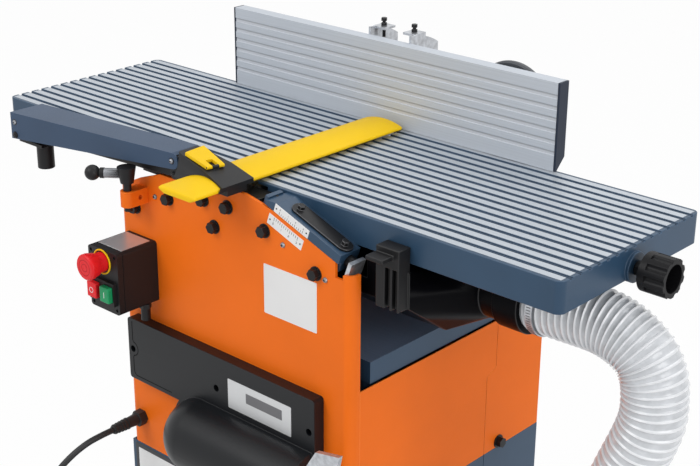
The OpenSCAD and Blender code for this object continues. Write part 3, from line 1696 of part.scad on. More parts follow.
// Closed solid tube through points with a radius for each ring
module solid_tube(p, radii, n, s0) {
  s = carry_all(p, s0);
  m = len(p);
  rings = [for (i = [0 : m - 1]) each ring(p[i], heading(p, i), s[i], radii[i], n)];
  sides = [for (i = [0 : m - 2], k = [0 : n - 1]) let (a = i * n + k, b = i * n + (k + 1) % n)
    each [[a, b, a + n], [b, b + n, a + n]]];
  ends = [for (k = [1 : n - 2]) each [[0, k + 1, k], [(m - 1) * n, (m - 1) * n + k, (m - 1) * n + k
    + 1]]];
  polyhedron(points = rings, faces = concat(sides, ends));
}

// Ribbed tube with a bore
module bored_tube(p, radii, bore, n, s0) {
  s = carry_all(p, s0);
  m = len(p);
  outer = [for (i = [0 : m - 1]) each ring(p[i], heading(p, i), s[i], radii[i], n)];
  pick = [for (i = [0 : 4 : m - 2]) i, m - 1];
  inner = [for (i = pick) each ring(p[i], heading(p, i), s[i], bore, n)];
  base = m * n;
  w = len(pick);
  out_faces = [for (i = [0 : m - 2], k = [0 : n - 1]) let (a = i * n + k, b = i * n + (k + 1) % n)
    each [[a, b, a + n], [b, b + n, a + n]]];
  in_faces = [for (i = [0 : w - 2], k = [0 : n - 1])
    let (a = base + i * n + k, b = base + i * n + (k + 1) % n) each [[a, a + n, b], [b, a + n, b
      + n]]];
  ends = [for (k = [0 : n - 1]) let (j = (k + 1) % n, e = (m - 1) * n, f = base + (w - 1) * n)
    each [[k, base + k, j], [j, base + k, base + j], [e + k, e + j, f + k], [e + j, f + j, f + k]]];
  polyhedron(points = concat(outer, inner), faces = concat(out_faces, in_faces, ends));
}

// Routes drawn to the real ends, with the floor end kept in place
function drawn(route, start) = let (a = route[0], b = route[len(route) - 1])
  [for (p = route) p + (start - a) * (p[2] - b[2]) / (a[2] - b[2])];
smooth_n = 8;
hose_path = smooth(drawn(hose_route, [port_end + hose_gap, port_y, table_h - port_z]), smooth_n);
hose_total = run_length(hose_path)[len(hose_path) - 1];
hose_ribs = floor(hose_total / hose_rib_pitch);
hose_points = even(hose_path, 2 * hose_ribs);
hose_radii = [for (i = [0 : 2 * hose_ribs]) hose_d / 2 - (i % 2) * hose_valley];

module dust_hose() {
  color("#d9dbdc") bored_tube(hose_points, hose_radii, hose_bore_r, hose_sides, [0, 0, 1]);
}

module hose_cuff() {
  end = hose_route[len(hose_route) - 1];
  y = end[1] + hose_gap;
  color("#2a2b2e") difference() {
    union() {
      bar_y(cuff_r, end[0], end[2], y, y + cuff_len);
      bar_y(cuff_r + cuff_ring_t, end[0], end[2], y, y + cuff_ring);
    }
    bar_y(hose_bore_r, end[0], end[2], y - over, y + cuff_len + over);
  }
}

// Mains cord
module strain_relief() {
  y0 = -panel_y - relief_nut;
  color("#1c1d1f") at_table() translate([relief_x, 0, -relief_z]) {
    translate([0, -panel_y, 0]) rotate([90, 0, 0]) cylinder(d = relief_nut_d, h = relief_nut, $fn = 6);
    translate([0, y0, 0]) rotate([90, 0, 0])
      cylinder(r1 = relief_root_r, r2 = relief_tip_r, h = relief_len - relief_nut);
  }
}

cord_steps = 3;
cord_start = [relief_x, -panel_y - relief_len, table_h - relief_z];
cord_points = even(smooth(drawn(cord_route, cord_start), smooth_n), cord_steps * (len(cord_route) - 1));

module mains_cord() {
  color("#151617") solid_tube(cord_points, [for (p = cord_points) cord_d / 2], 8, [0, 0, 1]);
}

// Coil of the stored length: it spirals in on the floor and back out on a second layer
function coil_spiral(t) = coil_r - coil_step * (t < coil_turns ? t : 2 * coil_turns - t);
function coil_climb(t) = let (u = min(1, max(0, (t - coil_turns + 0.25) * 2))) u * u * (3 - 2 * u);
function coil_point(t) = [coil_x + coil_spiral(t) * cos(270 - 360 * t), coil_y
  + coil_spiral(t) * sin(270 - 360 * t),
  cord_d / 2 + coil_lift + coil_step * coil_climb(t)];
coil_lift = 0.5;
coil_lead = 72;
coil_lead_rings = 5;
coil_steps = floor(2 * coil_turns * coil_rings);
coil_end = coil_point(2 * coil_turns);
coil_points = concat([for (i = [0 : coil_steps]) coil_point(2 * coil_turns * i / coil_steps)],
  [for (i = [1 : coil_lead_rings]) coil_end - [i * coil_lead / coil_lead_rings, 0, 0]]);
coil_gap = min([for (i = [0 : len(coil_points) - 1], j = [i + coil_rings / 2 : 1 : len(coil_points) - 1])
  norm(coil_points[i] - coil_points[j])]) - cord_d;
echo(coil_least_gap = coil_gap);

module cord_coil() {
  color("#151617") solid_tube(coil_points, [for (p = coil_points) cord_d / 2], coil_sides, [0, 0, 1]);
}

// Two-pin plug at the end of the coil
module plug() {
  e = coil_points[len(coil_points) - 1];
  color("#1c1d1f") translate(e) mirror([1, 0, 0]) {
    rotate([0, 90, 0]) cylinder(r1 = cord_d * plug_neck_share, r2 = plug_t / 2 - coil_lift,
        h = plug_len / 2);
    slab(plug_len / 2, plug_len, -plug_w / 2, plug_w / 2, coil_lift - plug_t / 2, plug_t / 2);
    for (s = [-1, 1]) bar_x(plug_pin_r, s * plug_pin_y, 0, plug_len, plug_len + plug_pin_len);
  }
}
plug_neck_share = 0.7;

base_stand();
front_panel();
rear_panel();
side_panels();
rear_cover();
front_cover();
panel_bolts();
outfeed_table();
bearing_housings();
bearings();
slide_rods();
cross_bars();
lock_bracket();
switch_box();
strain_relief();
mains_cord();
cord_coil();
plug();
dust_hood();
hose_clamp();
dust_hose();
hose_cuff();
motor();
drive_belt();
chains();
fence_base();
guard_bracket();
infeed_table();
slide_blocks();
link_plate();
depth_knob();
cutterblock();
knives();
motor_shaft();
feed_shaft();
infeed_roller();
outfeed_roller();
kickback_fingers();
thicknesser_bed();
lift_screw_1();
lift_screw_2();
lift_screw_3();
lift_screw_4();
rise_crank();
fence();
fence_caps();
fence_brackets();
stop_bolts();
fence_knob();
guard_arm();
guard_link();
guard_holder();
guard_blade();
guard_latch();
guard_knob();
lock_lever();
lock_ball();
mushroom_button();
start_button();
stop_button();
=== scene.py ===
"""Looks of the combination planer thicknesser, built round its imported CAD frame.

The CAD nodes give every shape and place. This script copies each one, breaks its
sharp edges, paints it, and adds the small trim, the hose, the cord and the studio.
Lengths are in millimetres, with heights from the table surface unless a comment says
otherwise, and at() turns a place into metres of the frame.
"""
import json
import math

import bmesh
import bpy
from mathutils import Matrix, Vector
from mathutils.bvhtree import BVHTree


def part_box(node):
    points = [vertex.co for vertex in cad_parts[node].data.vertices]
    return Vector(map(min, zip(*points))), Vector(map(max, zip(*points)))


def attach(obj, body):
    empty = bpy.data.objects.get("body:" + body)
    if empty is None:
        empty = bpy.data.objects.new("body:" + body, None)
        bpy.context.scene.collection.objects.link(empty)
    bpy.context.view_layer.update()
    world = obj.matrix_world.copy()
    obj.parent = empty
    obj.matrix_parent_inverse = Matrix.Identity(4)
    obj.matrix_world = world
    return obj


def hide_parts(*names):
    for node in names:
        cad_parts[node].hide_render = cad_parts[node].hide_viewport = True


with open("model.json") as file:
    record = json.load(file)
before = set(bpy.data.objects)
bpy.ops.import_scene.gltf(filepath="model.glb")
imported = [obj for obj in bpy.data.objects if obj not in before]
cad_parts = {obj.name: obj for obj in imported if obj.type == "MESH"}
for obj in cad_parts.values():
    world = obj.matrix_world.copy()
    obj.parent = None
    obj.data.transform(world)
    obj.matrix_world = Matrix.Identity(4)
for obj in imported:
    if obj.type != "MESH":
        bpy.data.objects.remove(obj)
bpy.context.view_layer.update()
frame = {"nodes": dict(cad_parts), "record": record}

MM = 0.001
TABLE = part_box("outfeed_table")[1][2]
HALF_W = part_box("outfeed_table")[1][1]
PANEL_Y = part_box("rear_panel")[1][1]
BODY_OF = {node: body for body, nodes in frame["record"]["behaviour"]["bodies"].items() for node in nodes}
SLOT_OF = {p["node"]: p["material_slot"] for p in frame["record"]["subparts"]}

FRONT = Vector((0, -1, 0))
BACK = Vector((0, 1, 0))
RIGHT = Vector((1, 0, 0))
UP = Vector((0, 0, 1))

# The front panel's face, and the infeed table's sloping way with its two directions
FACE = -PANEL_Y / MM
WAY_X, WAY_Z = 78, -14
SLOPE = math.radians(20)
DOWN = Vector((math.cos(SLOPE), 0, -math.sin(SLOPE)))
ACROSS = Vector((math.sin(SLOPE), 0, math.cos(SLOPE)))


def at(x, y, z):
    """A point given in millimetres from the table surface, in metres of the frame."""
    return Vector((x * MM, y * MM, TABLE + z * MM))


# Materials

RAMP_LOW, RAMP_HIGH = 0.3, 0.7
SLOW_DETAIL, FINE_DETAIL, BRUSH_DETAIL = 4, 2, 3
COAT_ROUGH = 0.15
GLOSS_SPREAD, GLOSS_LEAST = 0.06, 0.05
GRAIN_DEPTH = 0.4 * MM
BRUSH_BUMP, BRUSH_DEPTH = 0.06, 0.3 * MM
FLUTE_TINT = (0.93, 0.97, 1.04)
FLUTE_ROUGH, FLUTE_METAL = 0.5, 0.2

# Grooves of the fence: height of the top lip over the floor, spacing, and tones from lip to lip, with painted
# shade under each upper lip and a painted highlight towards the lower one
FENCE_LIP, FENCE_PITCH = 953.4, 13.6
FENCE_SHADE_TONES = ((0.0, 0.42), (0.09, 0.46), (0.16, 0.62), (0.39, 0.68))


def new_material(name):
    m = bpy.data.materials.new(name)
    m.use_nodes = True
    return m, m.node_tree.nodes, m.node_tree.links, m.node_tree.nodes["Principled BSDF"]


def grain(nodes, links, source, scale, detail):
    tex = nodes.new("ShaderNodeTexNoise")
    tex.inputs["Scale"].default_value = scale
    tex.inputs["Detail"].default_value = detail
    links.new(source, tex.inputs["Vector"])
    return tex.outputs["Fac"]


def ramp_of(nodes, links, source, target, low, high):
    ramp = nodes.new("ShaderNodeValToRGB")
    ramp.color_ramp.elements[0].position = RAMP_LOW
    ramp.color_ramp.elements[0].color = (*low, 1)
    ramp.color_ramp.elements[1].position = RAMP_HIGH
    ramp.color_ramp.elements[1].color = (*high, 1)
    links.new(source, ramp.inputs["Fac"])
    links.new(ramp.outputs["Color"], target)


def raise_grain(nodes, links, source, bsdf, strength, depth):
    lift = nodes.new("ShaderNodeBump")
    lift.inputs["Strength"].default_value = strength
    lift.inputs["Distance"].default_value = depth
    links.new(source, lift.inputs["Height"])
    links.new(lift.outputs["Normal"], bsdf.inputs["Normal"])


def tones(rgb, vary):
    return tuple(c * (1 - vary) for c in rgb), tuple(min(1, c * (1 + vary)) for c in rgb)


def plain(name, rgb, rough=0.45, metal=0.0, coat=0.0, bump=0.05, bump_scale=600.0, spec=0.5, vary=0.05,
          cloud=14.0):
    """Paint or moulding: a slow change of tone, a fine change of gloss, and a grain in its surface."""
    m, nodes, links, bsdf = new_material(name)
    bsdf.inputs["Metallic"].default_value = metal
    bsdf.inputs["Coat Weight"].default_value = coat
    bsdf.inputs["Coat Roughness"].default_value = COAT_ROUGH
    bsdf.inputs["Specular IOR Level"].default_value = spec
    coords = nodes.new("ShaderNodeTexCoord").outputs["Object"]
    slow = grain(nodes, links, coords, cloud, SLOW_DETAIL)
    fine = grain(nodes, links, coords, bump_scale, FINE_DETAIL)
    ramp_of(nodes, links, slow, bsdf.inputs["Base Color"], *tones(rgb, vary))
    gloss = nodes.new("ShaderNodeMapRange")
    gloss.inputs["To Min"].default_value = max(GLOSS_LEAST, rough - GLOSS_SPREAD)
    gloss.inputs["To Max"].default_value = rough + GLOSS_SPREAD
    links.new(fine, gloss.inputs["Value"])
    links.new(gloss.outputs["Result"], bsdf.inputs["Roughness"])
    raise_grain(nodes, links, fine, bsdf, bump, GRAIN_DEPTH)
    return m


def brushed(name, rgb, rough, metal, stretch, contrast):
    """Metal with fine marks drawn out along one axis."""
    m, nodes, links, bsdf = new_material(name)
    bsdf.inputs["Roughness"].default_value = rough
    bsdf.inputs["Metallic"].default_value = metal
    coords = nodes.new("ShaderNodeTexCoord")
    place = nodes.new("ShaderNodeMapping")
    place.inputs["Scale"].default_value = stretch
    links.new(coords.outputs["Object"], place.inputs["Vector"])
    marks = grain(nodes, links, place.outputs["Vector"], 1.0, BRUSH_DETAIL)
    ramp_of(nodes, links, marks, bsdf.inputs["Base Color"], *tones(rgb, contrast))
    raise_grain(nodes, links, marks, bsdf, BRUSH_BUMP, BRUSH_DEPTH)
    return m


def shaded_flute(name, top, pitch, stops):
    """Extruded grooves: painted shade under each upper lip, and a painted highlight towards the lower one."""
    m, nodes, links, bsdf = new_material(name)
    bsdf.inputs["Roughness"].default_value = FLUTE_ROUGH
    bsdf.inputs["Metallic"].default_value = FLUTE_METAL

    def sum_of(operation, *values):
        """One step of arithmetic: numbers are set on its sockets, and sockets are linked."""
        step = nodes.new("ShaderNodeMath")
        step.operation = operation
        for socket, value in zip(step.inputs, values):
            if isinstance(value, float):
                socket.default_value = value
            else:
                links.new(value, socket)
        return step.outputs[0]

    split = nodes.new("ShaderNodeSeparateXYZ")
    links.new(nodes.new("ShaderNodeTexCoord").outputs["Object"], split.inputs["Vector"])
    below = sum_of("SUBTRACT", top * MM, split.outputs["Z"])
    share = sum_of("FRACT", sum_of("DIVIDE", below, pitch * MM))
    ramp = nodes.new("ShaderNodeValToRGB")
    for k, (place, tone) in enumerate(stops):
        stop = ramp.color_ramp.elements[k] if k < 2 else ramp.color_ramp.elements.new(place)
        stop.position = place
        stop.color = (*(tone * c for c in FLUTE_TINT), 1)
    links.new(share, ramp.inputs["Fac"])
    links.new(ramp.outputs["Color"], bsdf.inputs["Base Color"])
    return m


MAT = {
    "orange": plain("orange paint", (0.93, 0.170, 0.006), 0.50, bump=0.06, spec=0.22, vary=0.03),
    # Each _edge material is a lighter copy for the broken edges: a painted edge highlight, and for the black
    # moulding and blackened steel also wear
    "orange_edge": plain("orange edge painted highlight", (0.97, 0.235, 0.03), 0.45, spec=0.3, vary=0.06),
    "slate": plain("slate paint", (0.027, 0.064, 0.118), 0.36, bump=0.08, spec=0.33, vary=0.06),
    "slate_edge": plain("slate edge painted highlight", (0.055, 0.100, 0.165), 0.42, spec=0.3, vary=0.12),
    "arm": plain("arm paint", (0.042, 0.074, 0.132), 0.44, bump=0.08, spec=0.22, vary=0.05),
    "arm_edge": plain("arm edge painted highlight", (0.060, 0.110, 0.185), 0.42, spec=0.25, vary=0.12),
    "groove": plain("groove floor", (0.016, 0.028, 0.050), 0.5, spec=0.2),
    "machined": brushed("machined top", (0.50, 0.54, 0.59), 0.45, 0.25, (6, 900, 900), 0.06),
    "bed": brushed("bed top", (0.18, 0.25, 0.38), 0.5, 0.1, (6, 700, 700), 0.06),
    "alloy": brushed("fence alloy", (0.55, 0.59, 0.645), 0.55, 0.2, (4, 700, 700), 0.04),
    "alloy_groove_shade": shaded_flute("fence groove painted shade", FENCE_LIP, FENCE_PITCH, FENCE_SHADE_TONES),
    "knob": plain("knob moulding", (0.006, 0.006, 0.007), 0.42, bump=0.10, bump_scale=900, spec=0.16),
    # Hood and latch are one black moulding: the hood takes a darker, duller copy as painted shade and the
    # latch a lighter one as painted light; the cover's joint line also takes the hood's copy
    "hood": plain("hood moulding in painted shade and joint line", (0.003, 0.003, 0.004), 0.30, bump=0.05, bump_scale=900, spec=0.04),
    "hood_edge": plain("hood edge painted highlight", (0.020, 0.020, 0.021), 0.40, spec=0.25),
    "latch": plain("latch moulding painted highlight", (0.009, 0.009, 0.010), 0.46, bump=0.10, bump_scale=900, spec=0.24),
    "black": plain("black moulding", (0.009, 0.009, 0.010), 0.48, bump=0.10, bump_scale=900, spec=0.3),
    "black_edge": plain("moulding edge wear and painted highlight", (0.030, 0.030, 0.032), 0.40, spec=0.4),
    "gloss": plain("cover moulding", (0.007, 0.008, 0.010), 0.34, spec=0.28, bump=0.08, bump_scale=900),
    "blackened": plain("blackened steel", (0.009, 0.009, 0.010), 0.38, spec=0.22, vary=0.2, cloud=60),
    "blackened_edge": plain("steel edge wear and painted highlight", (0.060, 0.060, 0.064), 0.35, metal=0.4, vary=0.2),
    "zinc": brushed("zinc plate", (0.50, 0.52, 0.55), 0.34, 0.80, (160, 160, 160), 0.22),
    "steel": brushed("bright steel", (0.62, 0.63, 0.64), 0.32, 0.9, (90, 20, 90), 0.06),
    "lever": brushed("lever steel", (0.30, 0.31, 0.33), 0.36, 0.7, (60, 60, 60), 0.10),
    "knife": plain("ground steel", (0.80, 0.81, 0.82), 0.18, metal=1.0, vary=0.03),
    "yellow": plain("guard yellow", (0.93, 0.59, 0.004), 0.50, spec=0.2, vary=0.02),
    "red": plain("red button", (0.78, 0.012, 0.018), 0.40, spec=0.3),
    "red_groove_shade": plain("red groove painted shade", (0.42, 0.006, 0.010), 0.5, spec=0.2),
    "green": plain("green button", (0.006, 0.29, 0.105), 0.40, spec=0.3),
    "navy": plain("end cap", (0.019, 0.027, 0.047), 0.5, bump=0.08, spec=0.3),
    "graphite": plain("graphite plastic", (0.055, 0.060, 0.070), 0.5, bump=0.08),
    "rubber": plain("black rubber", (0.013, 0.013, 0.014), 0.55, bump=0.08),
    "motor": plain("motor enamel", (0.10, 0.105, 0.11), 0.5, bump=0.1),
    "white": plain("white plate", (0.84, 0.84, 0.84), 0.45, vary=0.02),
    # Ink for print, and the painted shade of the screws' cross recesses
    "ink": plain("ink", (0.03, 0.03, 0.035), 0.5),
    "silver": plain("silver plate", (0.66, 0.67, 0.68), 0.32, metal=0.6, vary=0.03),
    "greyfield": plain("grey field", (0.16, 0.16, 0.17), 0.5),
    # The rib is the white helix; the wall's grey is the clear wall with painted shade in the valleys and from
    # inside the hose
    "hose_wall": plain("hose wall with painted shade", (0.60, 0.62, 0.65), 0.22, coat=0.4, vary=0.12, cloud=70),
    "hose_rib": plain("hose rib", (0.80, 0.815, 0.84), 0.25, coat=0.2, vary=0.03),
}


# Pieces: welds in metres, angles in degrees

WELD = 2e-6
FLAT_ANGLE = 0.4
EDGE_ANGLE = 32.0
EDGE_SEGMENTS = 2
FACE_WEIGHT = 90
HOLE_REACH = 7 * MM
LEVEL = 0.9

# Widths of broken edges: the usual one, and those of single nodes
EDGE_WIDTH = 0.6
WIDTH = {
    "chains": 0, "drive_belt": 0, "bearings": 0, "knives": 0, "lift_screw_1": 0, "lift_screw_2": 0,
    "lift_screw_3": 0, "lift_screw_4": 0, "kickback_fingers": 0, "cutterblock": 0, "infeed_roller": 0,
    "lock_ball": 0, "fence": 0.35, "outfeed_table": 0.8, "infeed_table": 0.8, "guard_arm": 0.8,
    "thicknesser_bed": 1.0, "lock_lever": 1.0, "depth_knob": 1.2, "stop_button": 1.2, "start_button": 1.2,
    "guard_blade": 1.5, "guard_holder": 1.5, "front_cover": 1.5, "mushroom_button": 1.5, "dust_hood": 1.5,
    "slide_blocks": 2.0, "fence_knob": 2.0, "plug": 2.0, "switch_box": 2.5,
}


def link(obj, body, *mats):
    bpy.context.scene.collection.objects.link(obj)
    for m in mats:
        obj.data.materials.append(MAT[m])
    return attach(obj, body)


def piece(name, bm, body, *mats, smooth=30.0):
    mesh = bpy.data.meshes.new(name)
    bm.to_mesh(mesh)
    bm.free()
    mesh.shade_smooth()
    mesh.set_sharp_from_angle(angle=math.radians(smooth))
    return link(bpy.data.objects.new(name, mesh), body, *mats)


def weigh_edges(bm, holes):
    """Marks the edges to break, and leaves out those round the holes."""
    weight = bm.edges.layers.float.new("bevel_weight_edge")
    for e in bm.edges:
        mid = (e.verts[0].co + e.verts[1].co) / 2
        bent = len(e.link_faces) == 2 and e.calc_face_angle(0) > math.radians(EDGE_ANGLE)
        near = any(math.hypot(mid.x - c.x, mid.z - c.z) < HOLE_REACH for c in holes)
        e[weight] = 1.0 if bent and not near else 0.0


def dressed(node, mats, pick=None, cuts=(), holes=()):
    """A copy of a CAD node with broken edges, which stands for the node; the broken edges take the look's
    lighter _edge material where there is one, as a painted highlight.
    """
    bm = bmesh.new()
    bm.from_mesh(frame["nodes"][node].data)
    bmesh.ops.remove_doubles(bm, verts=bm.verts, dist=WELD)
    bmesh.ops.dissolve_limit(bm, angle_limit=math.radians(FLAT_ANGLE), verts=bm.verts, edges=bm.edges,
                             delimit={"NORMAL"})
    for co, no in cuts:
        tops = [f for f in bm.faces if f.normal.z > LEVEL]
        geom = tops + list({e for f in tops for e in f.edges}) + list({v for f in tops for v in f.verts})
        bmesh.ops.bisect_plane(bm, geom=geom, dist=WELD / 2, plane_co=co, plane_no=no)
    for f in bm.faces:
        f.material_index = pick(f) if pick else 0
    if holes:
        weigh_edges(bm, holes)
    # The lighter edge material gives the broken edges a painted highlight
    edge = mats[0] + "_edge"
    edge_highlight_mats = [edge] if edge in MAT else []
    obj = piece("look_" + node, bm, BODY_OF[node], *mats, *edge_highlight_mats, smooth=EDGE_ANGLE)
    width = WIDTH.get(node, EDGE_WIDTH)
    if width:
        soft = obj.modifiers.new("edges", "BEVEL")
        soft.width = width * MM
        soft.segments = EDGE_SEGMENTS
        soft.limit_method = "WEIGHT" if holes else "ANGLE"
        soft.angle_limit = math.radians(EDGE_ANGLE)
        soft.use_clamp_overlap = True
        if edge_highlight_mats:
            soft.material = len(mats)
        flat = obj.modifiers.new("normals", "WEIGHTED_NORMAL")
        flat.weight = FACE_WEIGHT
        flat.keep_sharp = True
    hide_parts(node)


# Tables: machined lands, dark grooves, painted sides and a thin painted border
GROOVE = 2.0
BORDER = 4.5
SLACK = 0.2
RIM_GROOVE = 1.0
END_ON = 0.5


def table_pick(node):
    """Looks of a table's faces, and the cuts that part its painted rim from the lands."""
    top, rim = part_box(node)[1][2], BORDER * MM
    near = top - SLACK * MM
    floor = near - GROOVE * MM
    land = [v.co for v in frame["nodes"][node].data.vertices if v.co.z > near]
    side = max(abs(p.y) for p in land) - rim
    if node == "outfeed_table":
        end, way = min(p.x for p in land) + rim, -1
    else:
        end, way = max(p.x for p in land) - rim, 1

    def pick(f):
        c = f.calc_center_median()
        if f.normal.z > LEVEL and c.z > near:
            return 0 if (c.x - end) * way > 0 or abs(c.y) > side else 1
        inside = abs(c.y) < side + rim - RIM_GROOVE * MM
        return 2 if floor < c.z < near and abs(f.normal.x) < END_ON and inside else 0

    cuts = [((0, side, top), (0, 1, 0)), ((0, -side, top), (0, 1, 0)), ((end, 0, top), (1, 0, 0))]
    return pick, cuts


for node in ("outfeed_table", "infeed_table"):
    pick, cuts = table_pick(node)
    dressed(node, ("slate", "machined", "groove"), pick, cuts)

# Nodes of one look
LOOKS = {
    "base_stand": "slate", "front_panel": "orange", "rear_panel": "orange", "side_panels": "orange",
    "rear_cover": "orange", "lock_bracket": "orange", "front_cover": "gloss", "switch_box": "black",
    "depth_knob": "knob", "guard_holder": "black", "guard_knob": "black",
    "lock_ball": "black", "panel_bolts": "blackened", "link_plate": "blackened", "guard_link": "blackened",
    "stop_bolts": "blackened", "bearing_housings": "blackened", "guard_bracket": "blackened",
    "chains": "steel", "slide_blocks": "slate", "guard_arm": "arm",
    "bearings": "steel", "cross_bars": "steel", "cutterblock": "lever",
    "motor_shaft": "steel", "feed_shaft": "steel", "infeed_roller": "steel", "outfeed_roller": "steel",
    "kickback_fingers": "steel", "lift_screw_1": "steel", "lift_screw_2": "steel", "lift_screw_3": "steel",
    "lift_screw_4": "steel", "rise_crank": "zinc", "knives": "knife", "fence_base": "zinc",
    "fence_brackets": "zinc", "hose_clamp": "zinc", "fence_caps": "navy", "fence_knob": "graphite",
    "guard_blade": "yellow", "guard_latch": "yellow", "mushroom_button": "red", "stop_button": "red",
    "start_button": "green", "drive_belt": "rubber", "strain_relief": "rubber", "plug": "rubber",
    "hose_cuff": "rubber", "motor": "motor",
}
COVER_SCREW_X = (-163.5, -9.0, 145.5)
COVER_SCREW_Z = -260.5
COVER_HOLES = [at(x, 0, COVER_SCREW_Z) for x in COVER_SCREW_X]
for node, look in LOOKS.items():
    dressed(node, (look,), holes=COVER_HOLES if node == "front_cover" else ())

# Nodes of two or three looks
BED_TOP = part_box("thicknesser_bed")[1][2]
LATCH_FRONT = -HALF_W - 7 * MM
FENCE_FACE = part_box("fence")[0][1]
FENCE_GROOVE = 0.5
LEVER_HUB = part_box("lock_lever")[1][0] - 22 * MM
CLIP_LEN = 4
ROD_OUT, ROD_R = 146, 7.3


def bed_pick(f):
    return 1 if f.normal.z > LEVEL and f.calc_center_median().z > BED_TOP - SLACK * MM else 0


def hood_light_and_shade_pick(f):
    """The latch stands out in front of the hood: it takes a lighter copy of the black moulding as painted
    light, and the hood body a darker, duller copy as painted shade.
    """
    return 1 if f.calc_center_median().y < LATCH_FRONT else 0


def fence_pick(f):
    """The floors of the face's grooves, which take the painted shade and highlight of the groove tones."""
    return 1 if f.normal.y < -LEVEL and f.calc_center_median().y > FENCE_FACE + FENCE_GROOVE * MM else 0


def rod_pick(f):
    """Upper clips painted, lower ones zinc, rods blackened."""
    c = f.calc_center_median() - at(WAY_X, 0, WAY_Z)
    if c.dot(DOWN) < CLIP_LEN * MM:
        return 1
    return 2 if math.hypot(c.dot(ACROSS), abs(c.y) - ROD_OUT * MM) < ROD_R * MM else 0


def lever_pick(f):
    """A bare handle on a black hub."""
    return 1 if f.calc_center_median().x < LEVER_HUB else 0


dressed("thicknesser_bed", ("slate", "bed"), bed_pick)
dressed("dust_hood", ("hood", "latch"), hood_light_and_shade_pick)
dressed("fence", ("alloy", "alloy_groove_shade"), fence_pick)
dressed("slide_rods", ("zinc", "slate", "blackened"), rod_pick)
dressed("lock_lever", ("black", "lever"), lever_pick)


# Trim: small fasteners, bare plates, scale plates and marks

CORNER_STEPS = 4
RING_SIDES, MARK_SIDES, NAIL_SIDES, HEX = 40, 32, 12, 6


def trim_piece(name, bm, body, slot, *mats):
    piece("trim_" + name, bm, body, *mats)


def outline(w, h, r):
    """A rectangle with round corners, from its lower left corner."""
    out = []
    for cx, cy, a0 in ((w - r, r, -90), (w - r, h - r, 0), (r, h - r, 90), (r, r, 180)):
        for k in range(CORNER_STEPS + 1):
            a = math.radians(a0 + 90 * k / CORNER_STEPS)
            out.append((cx + r * math.cos(a), cy + r * math.sin(a)))
    return out


def sheet(bm, corner, right, up, shape, t, mat=0, edge=0.0):
    """A flat shape on a face, raised by its thickness, with a broken edge."""
    out = right.cross(up)
    n = len(shape)
    mid_x, mid_y = sum(p[0] for p in shape) / n, sum(p[1] for p in shape) / n

    def row(points, height):
        return [bm.verts.new(corner + (right * x + up * y + out * height) * MM) for x, y in points]

    rows = [row(shape, 0), row(shape, t - edge)]
    if edge:
        inner = []
        for x, y in shape:
            dx, dy = mid_x - x, mid_y - y
            share = edge / math.hypot(dx, dy)
            inner.append((x + dx * share, y + dy * share))
        rows.append(row(inner, t))
    for a, b in zip(rows, rows[1:]):
        for k in range(n):
            j = (k + 1) % n
            bm.faces.new((a[k], a[j], b[j], b[k])).material_index = mat
    bm.faces.new(rows[-1]).material_index = mat
    bm.faces.new(rows[0][::-1]).material_index = mat


def bar(bm, corner, right, up, x, y, w, h, t, mat):
    """A printed stroke on a plate."""
    shape = [(x - w / 2, y - h / 2), (x + w / 2, y - h / 2), (x + w / 2, y + h / 2), (x - w / 2, y + h / 2)]
    sheet(bm, corner, right, up, shape, t, mat)


# Digits of seven strokes, with shares of their height
STROKES = {"0": "abcdef", "1": "bc", "2": "abged", "3": "abgcd"}
DIGIT_W, STROKE_W, STROKE_LEN = 0.55, 0.15, 0.45


def digit(bm, corner, right, up, x, y, h, t, mat, sign):
    w, s, tall = h * DIGIT_W, h * STROKE_W, h * STROKE_LEN
    places = {"a": (0, h / 2, w, s), "g": (0, 0, w, s), "d": (0, -h / 2, w, s), "f": (-w / 2, h / 4, s, tall),
              "e": (-w / 2, -h / 4, s, tall), "b": (w / 2, h / 4, s, tall), "c": (w / 2, -h / 4, s, tall)}
    for k in STROKES[sign]:
        dx, dy, sw, sh = places[k]
        bar(bm, corner, right, up, x + dx, y + dy, sw, sh, t, mat)


def lathe(bm, centre, axis, profile, sides=24, mat=0, ring=False):
    """A closed round form or a ring from radius and height pairs, out along an axis."""
    turn = UP.rotation_difference(axis).to_matrix()
    angles = [2 * math.pi * k / sides for k in range(sides)]
    rows = []
    for r, h in profile:
        circle = [Vector((r * math.cos(a), r * math.sin(a), h)) for a in angles]
        rows.append([bm.verts.new(centre + turn @ p * MM) for p in circle])
    for a, b in zip(rows, rows[1:] + rows[:1] if ring else rows[1:]):
        for k in range(sides):
            j = (k + 1) % sides
            bm.faces.new((a[k], a[j], b[j], b[k])).material_index = mat
    if not ring:
        bm.faces.new(rows[0][::-1]).material_index = mat
        bm.faces.new(rows[-1]).material_index = mat


TREES = {}
FAR = 600


def touch(node, start, way):
    """Where a straight line from a point first meets a CAD node."""
    if node not in TREES:
        mesh = frame["nodes"][node].data
        faces = [list(f.vertices) for f in mesh.polygons]
        TREES[node] = BVHTree.FromPolygons([v.co for v in mesh.vertices], faces)
    hit = TREES[node].ray_cast(start, way)[0]
    if hit is None:
        raise ValueError("nothing of %s at %s" % (node, tuple(start)))
    return hit


def front_of(node, x, z):
    return touch(node, at(x, -FAR, z), BACK)


# A screw's head, from its seat to its recess: radius and height as shares of its radius, and more height
SCREW_HEAD = ((1, 0, -0.4), (1, 0, 0.5), (0.93, 0, 1.1), (0.75, 0.42, 0.6), (0.45, 0.56, 0.6),
              (0.36, 0.58, 0.6), (0.3, 0, 0.9))
CROSS_LONG, CROSS_WIDE, CROSS_DEEP = 0.95, 0.24, 0.1
CROSS_SHARE, CROSS_UP = 0.48, 0.6


